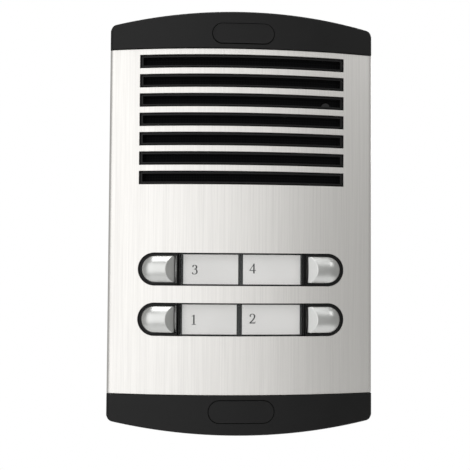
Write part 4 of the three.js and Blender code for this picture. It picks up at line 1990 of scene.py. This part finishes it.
@dataclass
class Studio:
    """Camera, lights, background and floor."""

    camera_at: Triple = (-25.61, -413.88, -20.25)
    camera_turn: Triple = (92.12, -0.381, -3.377)
    lens: float = 61.58
    soft_boxes: tuple[SoftBox, ...] = (
        SoftBox("key", (-1.0, -1.25, 0.15), (1.7, 2.0), 10.6),
        SoftBox("middle", (0.08, -1.6, 0.15), (0.75, 2.0), 2.7),
        SoftBox("top", (-0.1, -0.45, 1.1), (1.0, 0.6), 5.0),
        SoftBox("right", (1.15, -0.95, 1.05), (0.7, 0.7), 2.6),
        SoftBox("rear", (0.3, 1.1, 0.5), (1.0, 0.8), 16.0),
    )
    ambient: Triple = (0.375, 0.375, 0.366)
    floor_radius: float = 0.62
    floor_z: float = -0.42

    def place_camera(self) -> None:
        """Puts the camera at the viewing point."""
        data = bpy.data.cameras.new("camera")
        data.lens = self.lens
        data.sensor_width = 36.0
        data.clip_start, data.clip_end = 0.01, 20.0
        camera = bpy.data.objects.new("camera", data)
        bpy.context.scene.collection.objects.link(camera)
        camera.location = Vector(self.camera_at) * MM
        camera.rotation_euler = [math.radians(turn) for turn in self.camera_turn]
        bpy.context.scene.camera = camera

    def light(self) -> None:
        """Sets the soft boxes, the background and the tone curve."""
        bpy.context.scene.view_settings.view_transform = "Standard"
        for soft_box in self.soft_boxes:
            soft_box.hang()
        self._background()
        self._floor()

    def _background(self) -> None:
        """White to the eye, and a gentle grey to the surfaces that mirror it."""
        world = bpy.data.worlds.new("studio")
        bpy.context.scene.world = world
        world.use_nodes = True
        tree = world.node_tree
        tree.nodes.clear()
        output = tree.nodes.new("ShaderNodeOutputWorld")
        mix = tree.nodes.new("ShaderNodeMixShader")
        path = tree.nodes.new("ShaderNodeLightPath")
        ambient = tree.nodes.new("ShaderNodeBackground")
        ambient.inputs["Color"].default_value = (*self.ambient, 1.0)
        seen = tree.nodes.new("ShaderNodeBackground")
        seen.inputs["Color"].default_value = (1.0, 1.0, 1.0, 1.0)
        tree.links.new(path.outputs["Is Camera Ray"], mix.inputs["Fac"])
        tree.links.new(ambient.outputs["Background"], mix.inputs[1])
        tree.links.new(seen.outputs["Background"], mix.inputs[2])
        tree.links.new(mix.outputs["Shader"], output.inputs["Surface"])

    def _floor(self) -> None:
        """A plain pale floor well below the panel."""
        Bench.clear()
        bpy.ops.mesh.primitive_circle_add(
            vertices=96,
            radius=self.floor_radius,
            fill_type="NGON",
            location=(0.0, 0.0, self.floor_z),
        )
        floor = bpy.context.object
        floor.name = "floor"
        recipe = Recipe("pale_floor")
        cloud = recipe.noise(3.0, 3.0, 0.5)
        recipe.colour(recipe.tint(cloud, (0.86, 0.86, 0.86), (0.9, 0.9, 0.9)))
        recipe.set(Roughness=0.8)
        floor.data.materials.append(recipe.material)


# --- assembly


def build_front(finisher: Finisher) -> None:
    """Builds the shell of the front: face, caps, ovals, grille and cloth.

    Args:
        finisher: What dresses the pieces and sets them on their bodies.
    """
    plate = FacePlate()
    finisher.fit(plate.build(), "front_panel", "brushed_aluminium", ["front_plate"])
    top = EndCap("cap_top", True, SHAPE.top_seam, 89.4, 14.55, 4.65)
    finisher.fit(top.build(), "front_panel", "black_plastic", ["top_cap"])
    bottom = EndCap("cap_bottom", False, SHAPE.bottom_seam, -88.9, 15.3, 5.1, boss_radius=5.2)
    finisher.fit(bottom.build(), "front_panel", "black_plastic", ["bottom_cap"])
    badge = OvalPlate("badge_oval", 89.4, 14.55, 4.65)
    finisher.fit(badge.build(), "front_panel", "black_plastic", ["badge_plate"])
    cover = OvalPlate("cover_oval", -88.9, 15.3, 5.1, rim=0.8, sink=0.15, plug_radius=3.4)
    finisher.fit(cover.build(), "screw_cover", "black_plastic", ["screw_cover"])
    grille = Grille(plate)
    finisher.fit(grille.build(), "front_panel", "black_plastic", ["speaker_grille"])
    finisher.fit(grille.build_cloth(), "front_panel", "acoustic_cloth", ["acoustic_cloth"])


def build_rows(finisher: Finisher) -> None:
    """Builds both call rows: frames, windows, cards, numerals, buttons and springs.

    Args:
        finisher: What dresses the pieces and sets them on their bodies.
    """
    upper, lower = ROW_HEIGHTS["upper"], ROW_HEIGHTS["lower"]
    row = CallRow("upper", upper)
    frames = {"upper": row.build_frame()}
    windows = {"upper": row.build_window()}
    down = (0.0, 0.0, lower - upper)
    frames["lower"] = Bench.copy(frames["upper"], "row_frame_lower", down)
    windows["lower"] = Bench.copy(windows["upper"], "window_lower", down)
    for name in ROW_HEIGHTS:
        finisher.fit(frames[name], "front_panel", "black_plastic", [f"button_frame_{name}"])
        finisher.fit(windows[name], "front_panel", "clear_plastic", [f"name_window_{name}"])
    cards = [
        NameCard(1, lower, -28.0, -2.3, -22.4, -0.2),
        NameCard(2, lower, 0.25, 27.9, 5.2, 0.5),
        NameCard(3, upper, -27.6, -1.7, -22.2, -0.2),
        NameCard(4, upper, 0.6, 28.1, 5.2, 0.5),
    ]
    for card in cards:
        node = f"name_card_{card.number}"
        finisher.fit(card.build(), "front_panel", "card_paper", [node])
        finisher.fit(card.build_numeral(), "front_panel", "card_paper", look="printed_ink")
    build_buttons(finisher)


def build_buttons(finisher: Finisher) -> None:
    """Models one button and one spring, and copies them to the four places.

    Args:
        finisher: What dresses the pieces and sets them on their bodies.
    """
    places = [(z, side) for z in reversed(ROW_HEIGHTS.values()) for side in Side]
    button, spring = CallButton(ROW_HEIGHTS["lower"]), ReturnSpring()
    cap, coil = button.build(), spring.build()
    for number, (z, side) in enumerate(places, 1):
        twin = button.copy(cap, number, side, z)
        finisher.fit(twin, f"button_{number}", "satin_chrome", [f"button_cap_{number}"])
        node = f"return_spring_{number}"
        wound = spring.copy(coil, number, side, z)
        finisher.fit(wound, "front_panel", "spring_steel", [node])
        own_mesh(wound)
    for pattern in (cap, coil):
        bpy.data.objects.remove(pattern, do_unlink=True)


def main() -> None:
    """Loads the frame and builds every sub-assembly around it."""
    logging.basicConfig(level=logging.INFO, format="%(name)s: %(message)s", stream=sys.stdout)
    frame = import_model()
    Bench.clear()
    studio = Studio()
    studio.place_camera()
    finisher = Finisher()
    build_front(finisher)
    build_rows(finisher)
    slots = {part["node"]: part["material_slot"] for part in frame["record"]["subparts"]}
    InnerWorks(finisher).dress(frame["nodes"], slots)
    studio.light()


if __name__ == "__main__":
    main()
